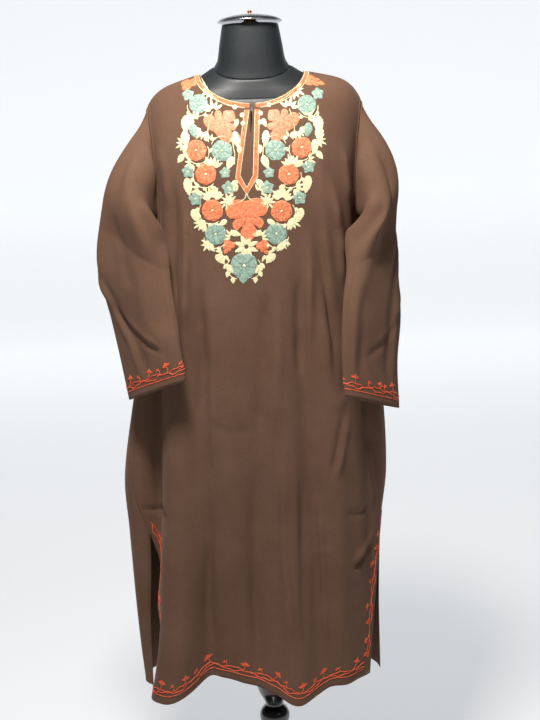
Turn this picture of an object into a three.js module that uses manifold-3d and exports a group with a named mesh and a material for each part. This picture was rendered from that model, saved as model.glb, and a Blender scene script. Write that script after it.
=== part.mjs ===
// Pheran on a dress form: a long loose wool tunic with an embroidered yoke, long sleeves and
// side slits, worn by a limbless form on a turned stand. Millimetres, +Z up, the front faces -Y.
// The origin is the middle of the underside of the base. Left and right are as seen in front.
import * as THREE from 'three';
import { mergeVertices } from 'three/addons/utils/BufferGeometryUtils.js';
import Module from 'manifold-3d';

const wasm = await Module();
wasm.setup();

// Driving dimensions
const wall = 1.5; // thickness of the cloth
const seamGap = 0.3; // space between pieces at a seam
const bustZ = 1190; // height where the chest starts to round over to the shoulders
const underarmZ = 1150;
const slitTopZ = 597;
const neckHalf = 91; // half width of the neckline
const neckZ = 1418; // height of the shoulder seam at the neck
const ridgeY = -4; // the shoulder seam lies a little in front of the axis

// Shoulders: the reach of the point, how far the seam falls evenly, and how far it rounds over
const shoulders = {
  left: { tip: 185, fall: 28, round: 24 },
  right: { tip: 190, fall: 20, round: 33 },
};
const yokeBend = { front: 1.9, frontTips: 0.3, back: 2.3 }; // how squarely the chest rounds over
const armholeBow = 5; // how far the armhole's edge draws in between bust and shoulder
const roundness = 2.5; // exponent of the body's rounded oblong sections
const foldRadius = 165; // mean radius that turns an angle into a length along the cloth

// The tunic's sections, with half widths to each side and half depths to the front and back.
// The tucks are how much narrower the front hangs than the back below the slits.
const bodySections = [
  { z: 1190, left: 190, right: 190, front: 130, back: 104, tuckLeft: 0, tuckRight: 0 },
  { z: 1090, left: 197, right: 188, front: 131, back: 104, tuckLeft: 0, tuckRight: 0 },
  { z: 1000, left: 210, right: 198, front: 130, back: 104, tuckLeft: 0, tuckRight: 0 },
  { z: 850, left: 237, right: 218, front: 128, back: 108, tuckLeft: 0, tuckRight: 0 },
  { z: 700, left: 262, right: 223, front: 124, back: 112, tuckLeft: 0, tuckRight: 0 },
  { z: 597, left: 259, right: 211, front: 121, back: 112, tuckLeft: 0, tuckRight: 0 },
  { z: 450, left: 254, right: 206, front: 116, back: 111, tuckLeft: 24, tuckRight: 2 },
  { z: 300, left: 247, right: 207, front: 112, back: 110, tuckLeft: 42, tuckRight: 8 },
];

// Edge angles of the panels, in degrees from the middle of the front, at each height
const edgeAngles = [
  { z: 1150, leftFront: 90, leftBack: 90, rightFront: 90, rightBack: 90 },
  { z: 850, leftFront: 76, leftBack: 76, rightFront: 88, rightBack: 88 },
  { z: 597, leftFront: 61, leftBack: 61, rightFront: 86, rightBack: 86 },
  { z: 510, leftFront: 62, leftBack: 64, rightFront: 75, rightBack: 89 },
  { z: 300, leftFront: 65, leftBack: 75, rightFront: 62, rightBack: 93 },
];
const armholeAngle = 68.6; // edge angle at the height of the bust

// Folds that hang from the shoulders. Each has its middle (x at the bust, hip and hem), its
// depth at the heights below, a half width that grows from bust to hem, the shape of its crest
// (2 is round, 4 is flat with steep sides) and its pull on the hem.
const foldHeights = [1190, 1060, 940, 780, 597, 450, 300];
const foldStations = [1190, 780, 300]; // bust, hip and hem
const folds = [
  { name: 'left flute', face: 'front', x: [-128, -146, -173], depth: [0, 2, 4, 8, 16, 34, 60],
    width: [18, 42], shape: 3.4, drop: 17 },
  { name: 'left side hollow', face: 'front', x: [-176, -208, -238],
    depth: [-8, -14, -24, -34, -36, -24, -14], width: [22, 32], shape: 2, drop: 0 },
  { name: 'flute valley', face: 'front', x: [-104, -117, -118], depth: [0, -4, -8, -11, -13, -14, -14],
    width: [12, 19], shape: 2, drop: -12 },
  { name: 'broad left ridge', face: 'front', x: [-60, -72, -84], depth: [0, 2, 4, 6, 4, -4, -14],
    width: [20, 30], shape: 2, drop: -14 },
  { name: 'middle valley', face: 'front', x: [-6, -8, -21], depth: [0, 0, -3, -6, -9, -9, -6],
    width: [18, 18], shape: 2, drop: -4 },
  { name: 'middle ridge', face: 'front', x: [30, 38, 42], depth: [0, 0, 4, 7, 12, 21, 36],
    width: [16, 26], shape: 2, drop: 20 },
  { name: 'right valley', face: 'front', x: [66, 76, 84], depth: [0, -3, -8, -10, -10, -6, 4],
    width: [13, 17], shape: 2, drop: 6 },
  { name: 'broad right ridge', face: 'front', x: [112, 124, 130], depth: [6, 8, 7, 8, 9, 9, 9],
    width: [14, 26], shape: 2, drop: 2 },
  { name: 'right side hollow', face: 'front', x: [176, 190, 182], depth: [-9, -18, -20, -18, -10, -4, 0],
    width: [22, 22], shape: 2, drop: 0 },
  { name: 'back left flute', face: 'back', x: [-120, -150, -165], depth: [4, 6, 8, 10, 14, 18, 24],
    width: [20, 34], shape: 2, drop: 6 },
  { name: 'back left valley', face: 'back', x: [-70, -85, -95], depth: [0, -2, -6, -9, -11, -13, -15],
    width: [16, 24], shape: 2, drop: -6 },
  { name: 'back middle ridge', face: 'back', x: [-20, -22, -28], depth: [-4, -1, 4, 8, 12, 16, 20],
    width: [18, 30], shape: 2, drop: 8 },
  { name: 'back right valley', face: 'back', x: [35, 44, 48], depth: [-3, -5, -7, -9, -11, -12, -13],
    width: [16, 24], shape: 2, drop: -6 },
  { name: 'back right flute', face: 'back', x: [100, 112, 122], depth: [4, 5, 7, 10, 13, 17, 22],
    width: [20, 32], shape: 2, drop: 5 },
];
const hemZ = { front: 314, back: 292 };

// Neckline, its slit and its embroidered border
const neckDrop = { front: 54, back: 14 };
const neckCurve = 1.2; // exponent of the neckline's curve, 1 is a half ellipse
const slit = { topX: -0.5, tipX: -4.2, topZ: 1372, tipZ: 1314, width: 4.6 };
const borderWidth = 12;
const placket = {
  topX: 0.4, topHalf: 12.4, endX: -13.9, endHalf: 19, endZ: 1240, tipX: -14.5, tipZ: 1209, band: 11.4,
};
const cutterDepth = 200; // reach of the blocks that cut out the border and the yoke
const cutterRise = 20; // how far they stand above the shoulder seam
const embroidery = 1; // how far the stitched layers stand up
const yokeEndLevel = 2.3; // the stitched layers are cut from the rows above this level

// Outline of the embroidered yoke, from the shoulder down to its point and up the other side
const yokeOutline = [
  [-124, 1412], [-124, 1350], [-121, 1289], [-113, 1232], [-96, 1166], [-71, 1120], [-27, 1063],
  [28, 1120], [62, 1172], [97, 1232], [116, 1300], [125, 1350], [127, 1412],
];
const scallop = { pitch: 20, depth: 4 };

// Sleeve sections from the armhole to the cuff: the outer fold, the inner fold and the half depth
const sleeves = {
  left: [
    { outer: [-185, ridgeY, 1366], inner: [-178, -70, 1200], depth: 70 },
    { outer: [-217, -4, 1306], inner: [-172, -94, 1172], depth: 58 },
    { outer: [-251, -14, 1238], inner: [-163, -114, 1130], depth: 44 },
    { outer: [-275, -28, 1162], inner: [-156, -130, 1084], depth: 33 },
    { outer: [-282, -42, 1092], inner: [-151, -142, 1034], depth: 26 },
    { outer: [-262, -60, 1000], inner: [-143, -152, 985], depth: 22 },
    { outer: [-247, -80, 926], inner: [-136, -157, 942], depth: 19 },
    { outer: [-235, -96, 859], inner: [-131, -160, 903], depth: 16 },
  ],
  right: [
    { outer: [190, ridgeY, 1365], inner: [182, -70, 1200], depth: 70 },
    { outer: [223, -4, 1304], inner: [171, -96, 1170], depth: 58 },
    { outer: [229, -14, 1228], inner: [161, -118, 1126], depth: 44 },
    { outer: [236, -32, 1148], inner: [157, -134, 1080], depth: 31 },
    { outer: [243, -48, 1068], inner: [146, -146, 1030], depth: 25 },
    { outer: [246, -64, 988], inner: [140, -154, 975], depth: 22 },
    { outer: [238, -80, 908], inner: [139, -157, 918], depth: 19 },
    { outer: [239, -94, 827], inner: [142, -160, 866], depth: 16 },
  ],
};
const sleeveHeadShare = 0.34; // share of the sleeve that turns from the armhole's shape
const headPuff = { forward: 15, inward: 7, share: 0.42 }; // how the sleeve head puffs over the seam
const sleeveClearance = 5; // least space between a sleeve and the body beside it
const underarmTwist = 35; // degrees by which the underarm seam lies behind the inner fold

// Dress form: half width, depths to the front and back, middle, and how steeply each ring falls
// from its middle to the front and to the back
const formRoundness = 2.3; // exponent of the form's rounded sections
const seatGap = 0.8; // space under the shoulder seams, where the tunic rests on the form
const torsoRings = [
  { z: 702, half: 156, front: 88, back: 84, middle: 0, fallFront: 0, fallBack: 0 },
  { z: 712, half: 162, front: 92, back: 88, middle: 0, fallFront: 0, fallBack: 0 },
  { z: 790, half: 168, front: 96, back: 94, middle: 0, fallFront: 0, fallBack: 0 },
  { z: 860, half: 164, front: 95, back: 94, middle: 0, fallFront: 0, fallBack: 0 },
  { z: 930, half: 145, front: 88, back: 84, middle: 0, fallFront: 0, fallBack: 0 },
  { z: 1000, half: 128, front: 84, back: 76, middle: 0, fallFront: 0, fallBack: 0 },
  { z: 1060, half: 130, front: 92, back: 78, middle: 0, fallFront: 0, fallBack: 0 },
  { z: 1130, half: 141, front: 108, back: 86, middle: 0, fallFront: 0, fallBack: 0 },
  { z: 1190, half: 149, front: 112, back: 92, middle: 0, fallFront: 0, fallBack: 0 },
  { z: 1260, half: 152, front: 104, back: 92, middle: 0, fallFront: 0, fallBack: 0 },
  { z: 1320, half: 158, front: 88, back: 82, middle: 0, fallFront: 0, fallBack: 0 },
  { z: 1352, half: 164, front: 78, back: 70, middle: 0, fallFront: 0, fallBack: 0 },
];
const shoulderRings = [
  { half: 162, front: 62, back: 50, fallFront: 0.35, fallBack: 0.3 },
  { half: 146, front: 61, back: 48, fallFront: 0.42, fallBack: 0.3 },
  { half: 128, front: 60, back: 48, fallFront: 0.42, fallBack: 0.3 },
  { half: 108, front: 59, back: 46, fallFront: 0.42, fallBack: 0.3 },
  { half: 90, front: 58, back: 45, fallFront: 0.42, fallBack: 0.26 },
];
const neckSeam = { z: 1430, half: 67, front: 54, back: 44, middle: -6, fallFront: 0.5, fallBack: 0.1 };
const neckRings = [
  { z: 1430, half: 65, front: 52, back: 42, middle: -6, fallFront: 0.5, fallBack: 0.1 },
  { z: 1442, half: 59, front: 50, back: 41, middle: -7, fallFront: 0.42, fallBack: 0.05 },
  { z: 1466, half: 55, front: 49, back: 42, middle: -8, fallFront: 0.22, fallBack: 0 },
  { z: 1499, half: 49, front: 46, back: 44, middle: -10, fallFront: 0, fallBack: 0 },
];
const capMiddleY = -10;
const capZ = 1499 + seamGap;
const capHeight = 18;
const segments = { form: 28, boss: 16, dish: 28, knob: 12, pole: 16, base: 32 };

const degrees = THREE.MathUtils.degToRad;
const power = (value, exponent) => Math.sign(value) * Math.abs(value) ** exponent;
const point = (x, y, z) => new THREE.Vector3(x, y, z);

// A smooth curve or a straight-line chain through the values in a table, read at any height or share
function curveThrough(stations, values, straight = false) {
  const rising = stations[0] < stations[stations.length - 1];
  const xs = rising ? stations : [...stations].reverse();
  const ys = rising ? values : [...values].reverse();
  const last = xs.length - 1;
  const slope = (i) => {
    const low = Math.max(i - 1, 0);
    const high = Math.min(i + 1, last);
    return (ys[high] - ys[low]) / (xs[high] - xs[low]);
  };
  return (x) => {
    const clamped = THREE.MathUtils.clamp(x, xs[0], xs[last]);
    let i = 0;
    while (i < last - 1 && clamped > xs[i + 1]) i += 1;
    const span = xs[i + 1] - xs[i];
    const t = (clamped - xs[i]) / span;
    if (straight) return THREE.MathUtils.lerp(ys[i], ys[i + 1], t);
    const rise = t * t * (3 - 2 * t);
    const startPull = t * (1 - t) ** 2 * span * slope(i);
    const endPull = t * t * (t - 1) * span * slope(i + 1);
    return ys[i] + (ys[i + 1] - ys[i]) * rise + startPull + endPull;
  };
}

function tableCurves(table, straight) {
  const names = Object.keys(table[0]).filter((name) => name !== 'z');
  const heights = table.map((row) => row.z);
  const curve = (name) => curveThrough(heights, table.map((row) => row[name]), straight);
  return Object.fromEntries(names.map((name) => [name, curve(name)]));
}

const section = tableCurves(bodySections, false);
const edge = tableCurves(edgeAngles, true);

// Half width of the body on one side, for the front or the back panel
function halfWidth(z, isRight, face) {
  const full = isRight ? section.right(z) : section.left(z);
  const tuck = isRight ? section.tuckRight(z) : section.tuckLeft(z);
  return face === 'front' ? full - Math.max(tuck, 0) : full;
}

// Angle at which a section of a given half width reaches x
function angleAt(x, half) {
  const share = Math.min(Math.abs(x) / half, 1);
  return Math.sign(x) * Math.asin(share ** (roundness / 2));
}

const foldCurves = folds.map((fold) => ({
  ...fold,
  middle: curveThrough(foldStations, fold.x),
  depthAt: curveThrough(foldHeights, fold.depth),
}));

// How strongly a fold acts at an angle, 1 on its middle line
function foldWeight(fold, angle, z, face) {
  const x = fold.middle(z);
  const front = angleAt(x, halfWidth(z, x > 0, face));
  const middle = fold.face === 'front' ? front : Math.PI - front;
  const turn = Math.atan2(Math.sin(angle - middle), Math.cos(angle - middle));
  const down = THREE.MathUtils.clamp((bustZ - z) / (bustZ - foldStations[2]), 0, 1);
  const width = THREE.MathUtils.lerp(fold.width[0], fold.width[1], down);
  return Math.exp(-(Math.abs(turn * foldRadius / width) ** fold.shape));
}

// The plain section of the body at an angle, with its outward direction
function plainSection(angle, z, face) {
  const half = halfWidth(z, Math.sin(angle) > 0, face);
  const depth = Math.cos(angle) > 0 ? section.front(z) : section.back(z);
  const x = half * power(Math.sin(angle), 2 / roundness);
  const y = -depth * power(Math.cos(angle), 2 / roundness);
  const outward = new THREE.Vector3(
    power(x / half, roundness - 1) / half,
    power(y / depth, roundness - 1) / depth,
    0,
  ).normalize();
  return { x, y, outward };
}

function foldShift(angle, z, face) {
  return foldCurves.reduce((sum, fold) => sum + fold.depthAt(z) * foldWeight(fold, angle, z, face), 0);
}

// A point of the tunic below the bust
function skirtPoint(angle, z, face) {
  const { x, y, outward } = plainSection(angle, z, face);
  return point(x, y, z).addScaledVector(outward, foldShift(angle, z, face));
}

// Height of the shoulder seam, which falls from the neck to the shoulder point
function shoulderLine(x) {
  const { tip, fall, round } = x > 0 ? shoulders.right : shoulders.left;
  const share = (Math.abs(x) - neckHalf) / (tip - neckHalf);
  const crest = fall / 2 * neckHalf / (tip - neckHalf);
  if (share < 0) return neckZ + crest * (1 - (x / neckHalf) ** 2);
  return neckZ - fall * share - round * share ** 6;
}

function neckline(x, face) {
  const turn = Math.asin(THREE.MathUtils.clamp(x / neckHalf, -1, 1));
  return neckZ - neckDrop[face] * Math.abs(Math.cos(turn)) ** neckCurve;
}

// Where a column of the tunic's upper part starts at the bust and ends at the top
function yokeColumn(angle, face) {
  const plain = plainSection(angle, bustZ, face);
  const isRight = plain.x > 0;
  const edgeX = halfWidth(bustZ, isRight, face) * Math.sin(degrees(armholeAngle)) ** (2 / roundness);
  const { tip } = isRight ? shoulders.right : shoulders.left;
  const topX = plain.x * tip / edgeX;
  const crown = shoulderLine(topX) - bustZ;
  const outward = Math.min(Math.abs(topX) / tip, 1);
  const bend = face === 'front' ? yokeBend.front + yokeBend.frontTips * outward : yokeBend.back;
  const topShare = Math.abs(topX) < neckHalf ? (neckline(topX, face) - bustZ) / crown : 1;
  return { plain, edgeX, topX, crown, bend, topTurn: Math.asin(topShare ** (bend / 2)) };
}

// A point of the tunic above the bust, where the cloth rounds over to the shoulder seam.
// The turn is 0 at the bust and a right angle at the seam.
function yokePoint(angle, turn, face) {
  const start = skirtPoint(angle, bustZ, face);
  const { plain, edgeX, topX, crown, bend } = yokeColumn(angle, face);
  const lift = Math.abs(Math.sin(turn)) ** (2 / bend);
  const reach = power(Math.cos(turn), 2 / bend);
  const bow = armholeBow * Math.sin(Math.PI * lift) * (plain.x / edgeX) ** 3;
  const fade = (1 - lift) ** 2;
  return point(
    THREE.MathUtils.lerp(plain.x, topX, lift) - bow + (start.x - plain.x) * fade,
    ridgeY + (plain.y - ridgeY) * reach + (start.y - plain.y) * fade,
    bustZ + crown * lift,
  );
}

// Height of the hem at an angle: the folds that come forward hang lower
function hemHeight(angle, face) {
  const lowest = foldStations[2];
  const pulls = foldCurves.map((fold) => fold.drop * foldWeight(fold, angle, lowest, face));
  return hemZ[face] - pulls.reduce((sum, pull) => sum + pull, 0);
}

// Levels down the tunic: 0 shoulder seam, 1 bust, 2 underarm, 3 top of the slits, 4 hem
function tunicPoint(local, level, face) {
  const angle = face === 'front' ? local : Math.PI + local;
  if (level < 1) return yokePoint(angle, (1 - level) * yokeColumn(angle, face).topTurn, face);
  if (level < 2) return skirtPoint(angle, THREE.MathUtils.lerp(bustZ, underarmZ, level - 1), face);
  if (level < 3) return skirtPoint(angle, THREE.MathUtils.lerp(underarmZ, slitTopZ, level - 2), face);
  const z = THREE.MathUtils.lerp(slitTopZ, hemHeight(angle, face), level - 3);
  return skirtPoint(angle, z, face);
}

// Edge angles of a panel, measured from its own middle, at a level
function panelEdges(level, face) {
  if (level <= 2) {
    const dip = THREE.MathUtils.clamp(level - 1, 0, 1);
    const angle = THREE.MathUtils.lerp(armholeAngle, 90, 1 - Math.sqrt(1 - dip * dip));
    return { start: -degrees(angle), end: degrees(angle) };
  }
  const top = level < 3 ? underarmZ : slitTopZ;
  const bottom = level < 3 ? slitTopZ : hemZ[face];
  const z = THREE.MathUtils.lerp(top, bottom, level < 3 ? level - 2 : level - 3);
  if (face === 'front') return { start: -degrees(edge.leftFront(z)), end: degrees(edge.rightFront(z)) };
  return { start: -degrees(180 - edge.rightBack(z)), end: degrees(180 - edge.leftBack(z)) };
}

function outwardNormal(local, level, face) {
  const step = 0.004; // a small turn and share of a level
  let read = (turn, drop) => tunicPoint(local + turn, level + drop, face);
  if (level < 1) {
    const angle = face === 'front' ? local : Math.PI + local;
    const rise = (1 - level) * yokeColumn(angle, face).topTurn;
    read = (turn, drop) => yokePoint(angle + turn, rise - drop, face);
  }
  const across = read(step, 0).sub(read(-step, 0));
  const down = read(0, step).sub(read(0, -step));
  return down.cross(across).normalize();
}

// Angles of a panel's columns at a level: fitted to the neckline above, even below
function columnAngles(level, face, sideColumns, neckColumns) {
  const { start, end } = panelEdges(level, face);
  const count = 2 * sideColumns + neckColumns;
  const bustHalf = halfWidth(bustZ, true, face);
  const edgeX = bustHalf * Math.sin(degrees(armholeAngle)) ** (2 / roundness);
  const cornerAngle = (tip, turn) => angleAt(neckHalf * Math.sin(turn) * edgeX / tip, bustHalf);
  const tips = [shoulders.left.tip, shoulders.right.tip];
  if (face === 'back') tips.reverse();
  const corner = { start: cornerAngle(tips[0], -Math.PI / 2), end: cornerAngle(tips[1], Math.PI / 2) };
  const settle = THREE.MathUtils.smoothstep(level, 2, 2.45);
  return Array.from({ length: count + 1 }, (_, i) => {
    let fitted;
    const fromEnd = count - i;
    if (i < sideColumns) fitted = THREE.MathUtils.lerp(start, corner.start, i / sideColumns);
    else if (fromEnd < sideColumns) fitted = THREE.MathUtils.lerp(end, corner.end, fromEnd / sideColumns);
    else {
      const turn = ((i - sideColumns) / neckColumns - 0.5) * Math.PI;
      fitted = cornerAngle(tips[turn > 0 ? 1 : 0], turn);
    }
    return THREE.MathUtils.lerp(fitted, THREE.MathUtils.lerp(start, end, i / count), settle);
  });
}

// Rows down the panels. The rows from the shoulder to the underarm also make the armholes.
const spread = (from, to, count) => Array.from({ length: count }, (_, i) => from + (to - from) * i / count);
const dipLevels = [1, 2, 3].map((i) => 1 + Math.sin(i * Math.PI / 6));
const armholeLevels = [...spread(0, 1, 9), 1, ...dipLevels];
const panelLevels = [...armholeLevels, ...spread(2, 3, 8).slice(1), ...spread(3, 4, 6), 4];
const sleeveRingCount = 13;
const guideStep = 0.02; // share of the sleeve's length over which its direction is read
const sharpestMitre = 0.6;

// Cells of a panel: a point of the outer face and the outward direction there
function panelGrid(face, sideColumns, neckColumns) {
  return panelLevels.map((level) => columnAngles(level, face, sideColumns, neckColumns)
    .map((local) => ({ at: tunicPoint(local, level, face), out: outwardNormal(local, level, face) })));
}

// Sewn edges are drawn in by half the seam gap
const towards = (from, to, length) => to.clone().sub(from).setLength(length).add(from);

function drawIn(rows) {
  const last = rows[0].length - 1;
  return rows.map((row, r) => row.map(({ at, out }, c) => {
    let moved = at;
    const sewn = panelLevels[r] <= 3;
    if (sewn && c === 0) moved = towards(moved, row[1].at, seamGap / 2);
    if (sewn && c === last) moved = towards(moved, row[last - 1].at, seamGap / 2);
    if (r === 0) moved = towards(moved, rows[1][c].at, seamGap / 2);
    return { at: moved, out };
  }));
}

const lifted = ({ at, out }, height) => at.clone().addScaledVector(out, height);
const layer = (rows, height) => rows.map((row) => row.map((cell) => lifted(cell, height)));

// A closed wall between two grids of points; a wrapped wall is a tube
function wallBetween(outer, inner, wrapped = false) {
  const rows = outer.length;
  const columns = outer[0].length;
  const positions = [...outer.flat(), ...inner.flat()].flatMap((vertex) => vertex.toArray());
  const id = (r, c, side) => side * rows * columns + r * columns + (c % columns);
  const indices = [];
  const quad = (a, b, c, d) => indices.push(a, b, c, a, c, d);
  const spans = wrapped ? columns : columns - 1;
  for (let r = 0; r < rows - 1; r += 1) {
    for (let c = 0; c < spans; c += 1) {
      quad(id(r, c, 0), id(r + 1, c, 0), id(r + 1, c + 1, 0), id(r, c + 1, 0));
      indices.push(id(r, c, 1), id(r + 1, c + 1, 1), id(r + 1, c, 1));
      indices.push(id(r, c, 1), id(r, c + 1, 1), id(r + 1, c + 1, 1));
    }
  }
  for (let c = 0; c < spans; c += 1) {
    quad(id(0, c, 0), id(0, c + 1, 0), id(0, c + 1, 1), id(0, c, 1));
    quad(id(rows - 1, c + 1, 0), id(rows - 1, c, 0), id(rows - 1, c, 1), id(rows - 1, c + 1, 1));
  }
  for (let r = 0; r < rows - 1 && !wrapped; r += 1) {
    quad(id(r + 1, 0, 0), id(r, 0, 0), id(r, 0, 1), id(r + 1, 0, 1));
    quad(id(r, columns - 1, 0), id(r + 1, columns - 1, 0), id(r + 1, columns - 1, 1), id(r, columns - 1, 1));
  }
  return facingOut(positions, indices);
}

function facingOut(positions, indices) {
  let volume = 0;
  const corner = (i) => new THREE.Vector3().fromArray(positions, 3 * indices[i]);
  for (let i = 0; i < indices.length; i += 3) {
    volume += corner(i).dot(corner(i + 1).cross(corner(i + 2)));
  }
  const geometry = new THREE.BufferGeometry();
  geometry.setAttribute('position', new THREE.Float32BufferAttribute(positions, 3));
  geometry.setIndex(volume > 0 ? indices : [...indices].reverse());
  geometry.computeVertexNormals();
  return geometry;
}

function solidOf(geometry) {
  const bare = geometry.clone();
  ['normal', 'uv'].forEach((name) => bare.deleteAttribute(name));
  const merged = mergeVertices(bare);
  return new wasm.Manifold(new wasm.Mesh({
    numProp: 3,
    vertProperties: new Float32Array(merged.attributes.position.array),
    triVerts: new Uint32Array(merged.index.array),
  }));
}

function geometryOf(solid) {
  const { vertProperties, triVerts } = solid.getMesh();
  return facingOut([...vertProperties], [...triVerts]);
}

// A block over an outline drawn in the front view, reaching forward from the shoulder seam
function frontPrism(outline) {
  const shape = new THREE.Shape(outline.map(([x, z]) => new THREE.Vector2(x, z)));
  const block = new THREE.ExtrudeGeometry(shape, { depth: cutterDepth, bevelEnabled: false });
  return solidOf(block.rotateX(Math.PI / 2).translate(0, ridgeY - seamGap, 0));
}

// Neckline border seen from the front: round the neck and down both sides of the slit
function borderOutline(extra) {
  const points = [];
  const count = 24;
  const reach = borderWidth + extra;
  for (let i = 0; i <= count; i += 1) {
    const turn = (i / count - 0.5) * Math.PI;
    const x = neckHalf * Math.sin(turn);
    const z = neckZ - neckDrop.front * Math.cos(turn) ** neckCurve;
    const rise = neckCurve * neckDrop.front * Math.sin(turn);
    const slope = new THREE.Vector2(neckHalf * Math.cos(turn), rise).normalize();
    points.push([x + slope.y * reach, z - slope.x * reach]);
  }
  const left = points.filter(([x]) => x < placket.topX - placket.topHalf - extra);
  const right = points.filter(([x]) => x > placket.topX + placket.topHalf + extra);
  const down = [
    [placket.topX - placket.topHalf - extra, neckZ - neckDrop.front - reach],
    [placket.endX - placket.endHalf - extra, placket.endZ],
    [placket.tipX, placket.tipZ - extra],
    [placket.endX + placket.endHalf + extra, placket.endZ],
    [placket.topX + placket.topHalf + extra, neckZ - neckDrop.front - reach],
  ];
  const over = neckZ + cutterRise;
  return [[-neckHalf - reach, over], ...left, ...down, ...right, [neckHalf + reach, over]];
}

function placketOpening() {
  const half = (share) => THREE.MathUtils.lerp(placket.topHalf, placket.endHalf, share) - placket.band;
  const top = neckZ - neckDrop.front / 2;
  return [
    [placket.topX - half(0), top],
    [placket.endX - half(1), placket.endZ],
    [placket.tipX, placket.tipZ + 1.4 * placket.band],
    [placket.endX + half(1), placket.endZ],
    [placket.topX + half(0), top],
  ];
}

// The yoke's edge is a row of shallow scallops
function scalloped(outline) {
  const points = [];
  outline.slice(0, -1).forEach(([x, z], i) => {
    const run = new THREE.Vector2(outline[i + 1][0] - x, outline[i + 1][1] - z);
    const count = Math.max(Math.round(run.length() / scallop.pitch), 1);
    const away = new THREE.Vector2(run.y, -run.x).normalize().multiplyScalar(scallop.depth);
    for (let k = 0; k < count; k += 1) {
      [0, 0.5].forEach((share) => {
        const lift = share > 0 ? 1 : 0;
        const along = (k + share) / count;
        points.push([x + run.x * along + away.x * lift, z + run.y * along + away.y * lift]);
      });
    }
  });
  return [...points, outline[outline.length - 1]];
}

// The armhole's points from the shoulder down the front edge and up the back edge. Each keeps
// the cells of the panels that it is sewn to.
function armholeLoop(isLeft) {
  const rows = armholeLevels.length;
  const pick = (grid, r, atStart) => {
    const row = grid[r];
    const cell = row[atStart ? 0 : row.length - 1];
    const beside = row[atStart ? 1 : row.length - 2];
    return { at: towards(cell.at, beside.at, -seamGap / 2), cells: [cell] };
  };
  const front = Array.from({ length: rows }, (_, r) => pick(frontRows, r, isLeft));
  const back = Array.from({ length: rows }, (_, r) => pick(backRows, r, !isLeft));
  const joined = (a, b) => ({ at: a.at.clone().lerp(b.at, 0.5), cells: [...a.cells, ...b.cells] });
  return [
    joined(front[0], back[0]),
    ...front.slice(1, -1),
    joined(front[rows - 1], back[rows - 1]),
    ...back.slice(1, -1).reverse(),
  ];
}

// A sleeve point that would lie in the body below the armhole is moved out to hang beside it
function clearOfBody(at, clearance) {
  if (at.z >= bustZ) return at;
  const half = halfWidth(at.z, at.x > 0, 'front');
  const depth = at.y < 0 ? section.front(at.z) : section.back(at.z);
  const across = power(at.x / half, roundness / 2);
  const along = power(-at.y / depth, roundness / 2);
  const angle = Math.atan2(across, along);
  const dip = THREE.MathUtils.clamp((bustZ - at.z) / (bustZ - underarmZ), 0, 1);
  const open = panelEdges(1 + dip, 'front');
  if (dip < 1 && (angle < open.start || angle > open.end)) return at;
  const { x, y } = plainSection(angle, at.z, 'front');
  const surface = new THREE.Vector2(x, y).length() + foldShift(angle, at.z, 'front') + clearance;
  const reach = Math.hypot(at.x, at.y);
  if (reach >= surface) return at;
  return point(at.x * surface / reach, at.y * surface / reach, at.z);
}

// Sleeve: rings from the armhole's own points to the flattened cuff
function sleeveRings(side, armhole) {
  const table = sleeves[side];
  const shares = table.map((_, i) => i / (table.length - 1));
  const guide = (name) => [0, 1, 2].map((axis) => curveThrough(shares, table.map((row) => row[name][axis])));
  const outerAt = guide('outer');
  const innerAt = guide('inner');
  const depthAt = curveThrough(shares, table.map((row) => row.depth));
  const read = (curves, t) => new THREE.Vector3(...curves.map((curve) => curve(t)));
  const middle = (t) => read(outerAt, t).add(read(innerAt, t)).multiplyScalar(0.5);
  const turns = armhole.map((_, i) => 2 * Math.PI * i / armhole.length);
  const rings = [armhole.map(({ at }) => at)];
  for (let i = 1; i <= sleeveRingCount; i += 1) {
    const t = i / sleeveRingCount;
    const half = read(outerAt, t).sub(read(innerAt, t)).multiplyScalar(0.5);
    const run = middle(Math.min(t + guideStep, 1)).sub(middle(Math.max(t - guideStep, 0)));
    const forward = half.clone().cross(run).normalize();
    if (forward.y > 0) forward.negate();
    const flat = THREE.MathUtils.smoothstep(t, 0, sleeveHeadShare);
    const carried = middle(t).sub(middle(0));
    const puff = Math.sin(Math.PI * Math.min(t / headPuff.share, 1));
    const puffed = forward.clone().multiplyScalar(headPuff.forward)
      .addScaledVector(half.clone().normalize(), -headPuff.inward).multiplyScalar(puff);
    rings.push(armhole.map(({ at }, j) => {
      const turn = turns[j] + degrees(underarmTwist) * flat * (1 - Math.cos(turns[j])) / 2;
      const lens = middle(t).addScaledVector(half, Math.cos(turn))
        .addScaledVector(forward, depthAt(t) * Math.sin(turn));
      const hung = at.clone().add(carried).lerp(lens, flat)
        .addScaledVector(puffed, Math.max(Math.sin(turns[j]), 0));
      return clearOfBody(hung, sleeveClearance * Math.min(i / 2, 1));
    }));
  }
  return rings;
}

function ringNormals(rings) {
  const count = rings[0].length;
  const last = rings.length - 1;
  return rings.map((ring, r) => {
    const centre = ring.reduce((sum, vertex) => sum.add(vertex), new THREE.Vector3()).divideScalar(count);
    return ring.map((at, c) => {
      const around = ring[(c + 1) % count].clone().sub(ring[(c + count - 1) % count]);
      const along = rings[Math.min(r + 1, last)][c].clone().sub(rings[Math.max(r - 1, 0)][c]);
      const out = around.cross(along).normalize();
      return out.dot(at.clone().sub(centre)) < 0 ? out.negate() : out;
    });
  });
}

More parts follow.
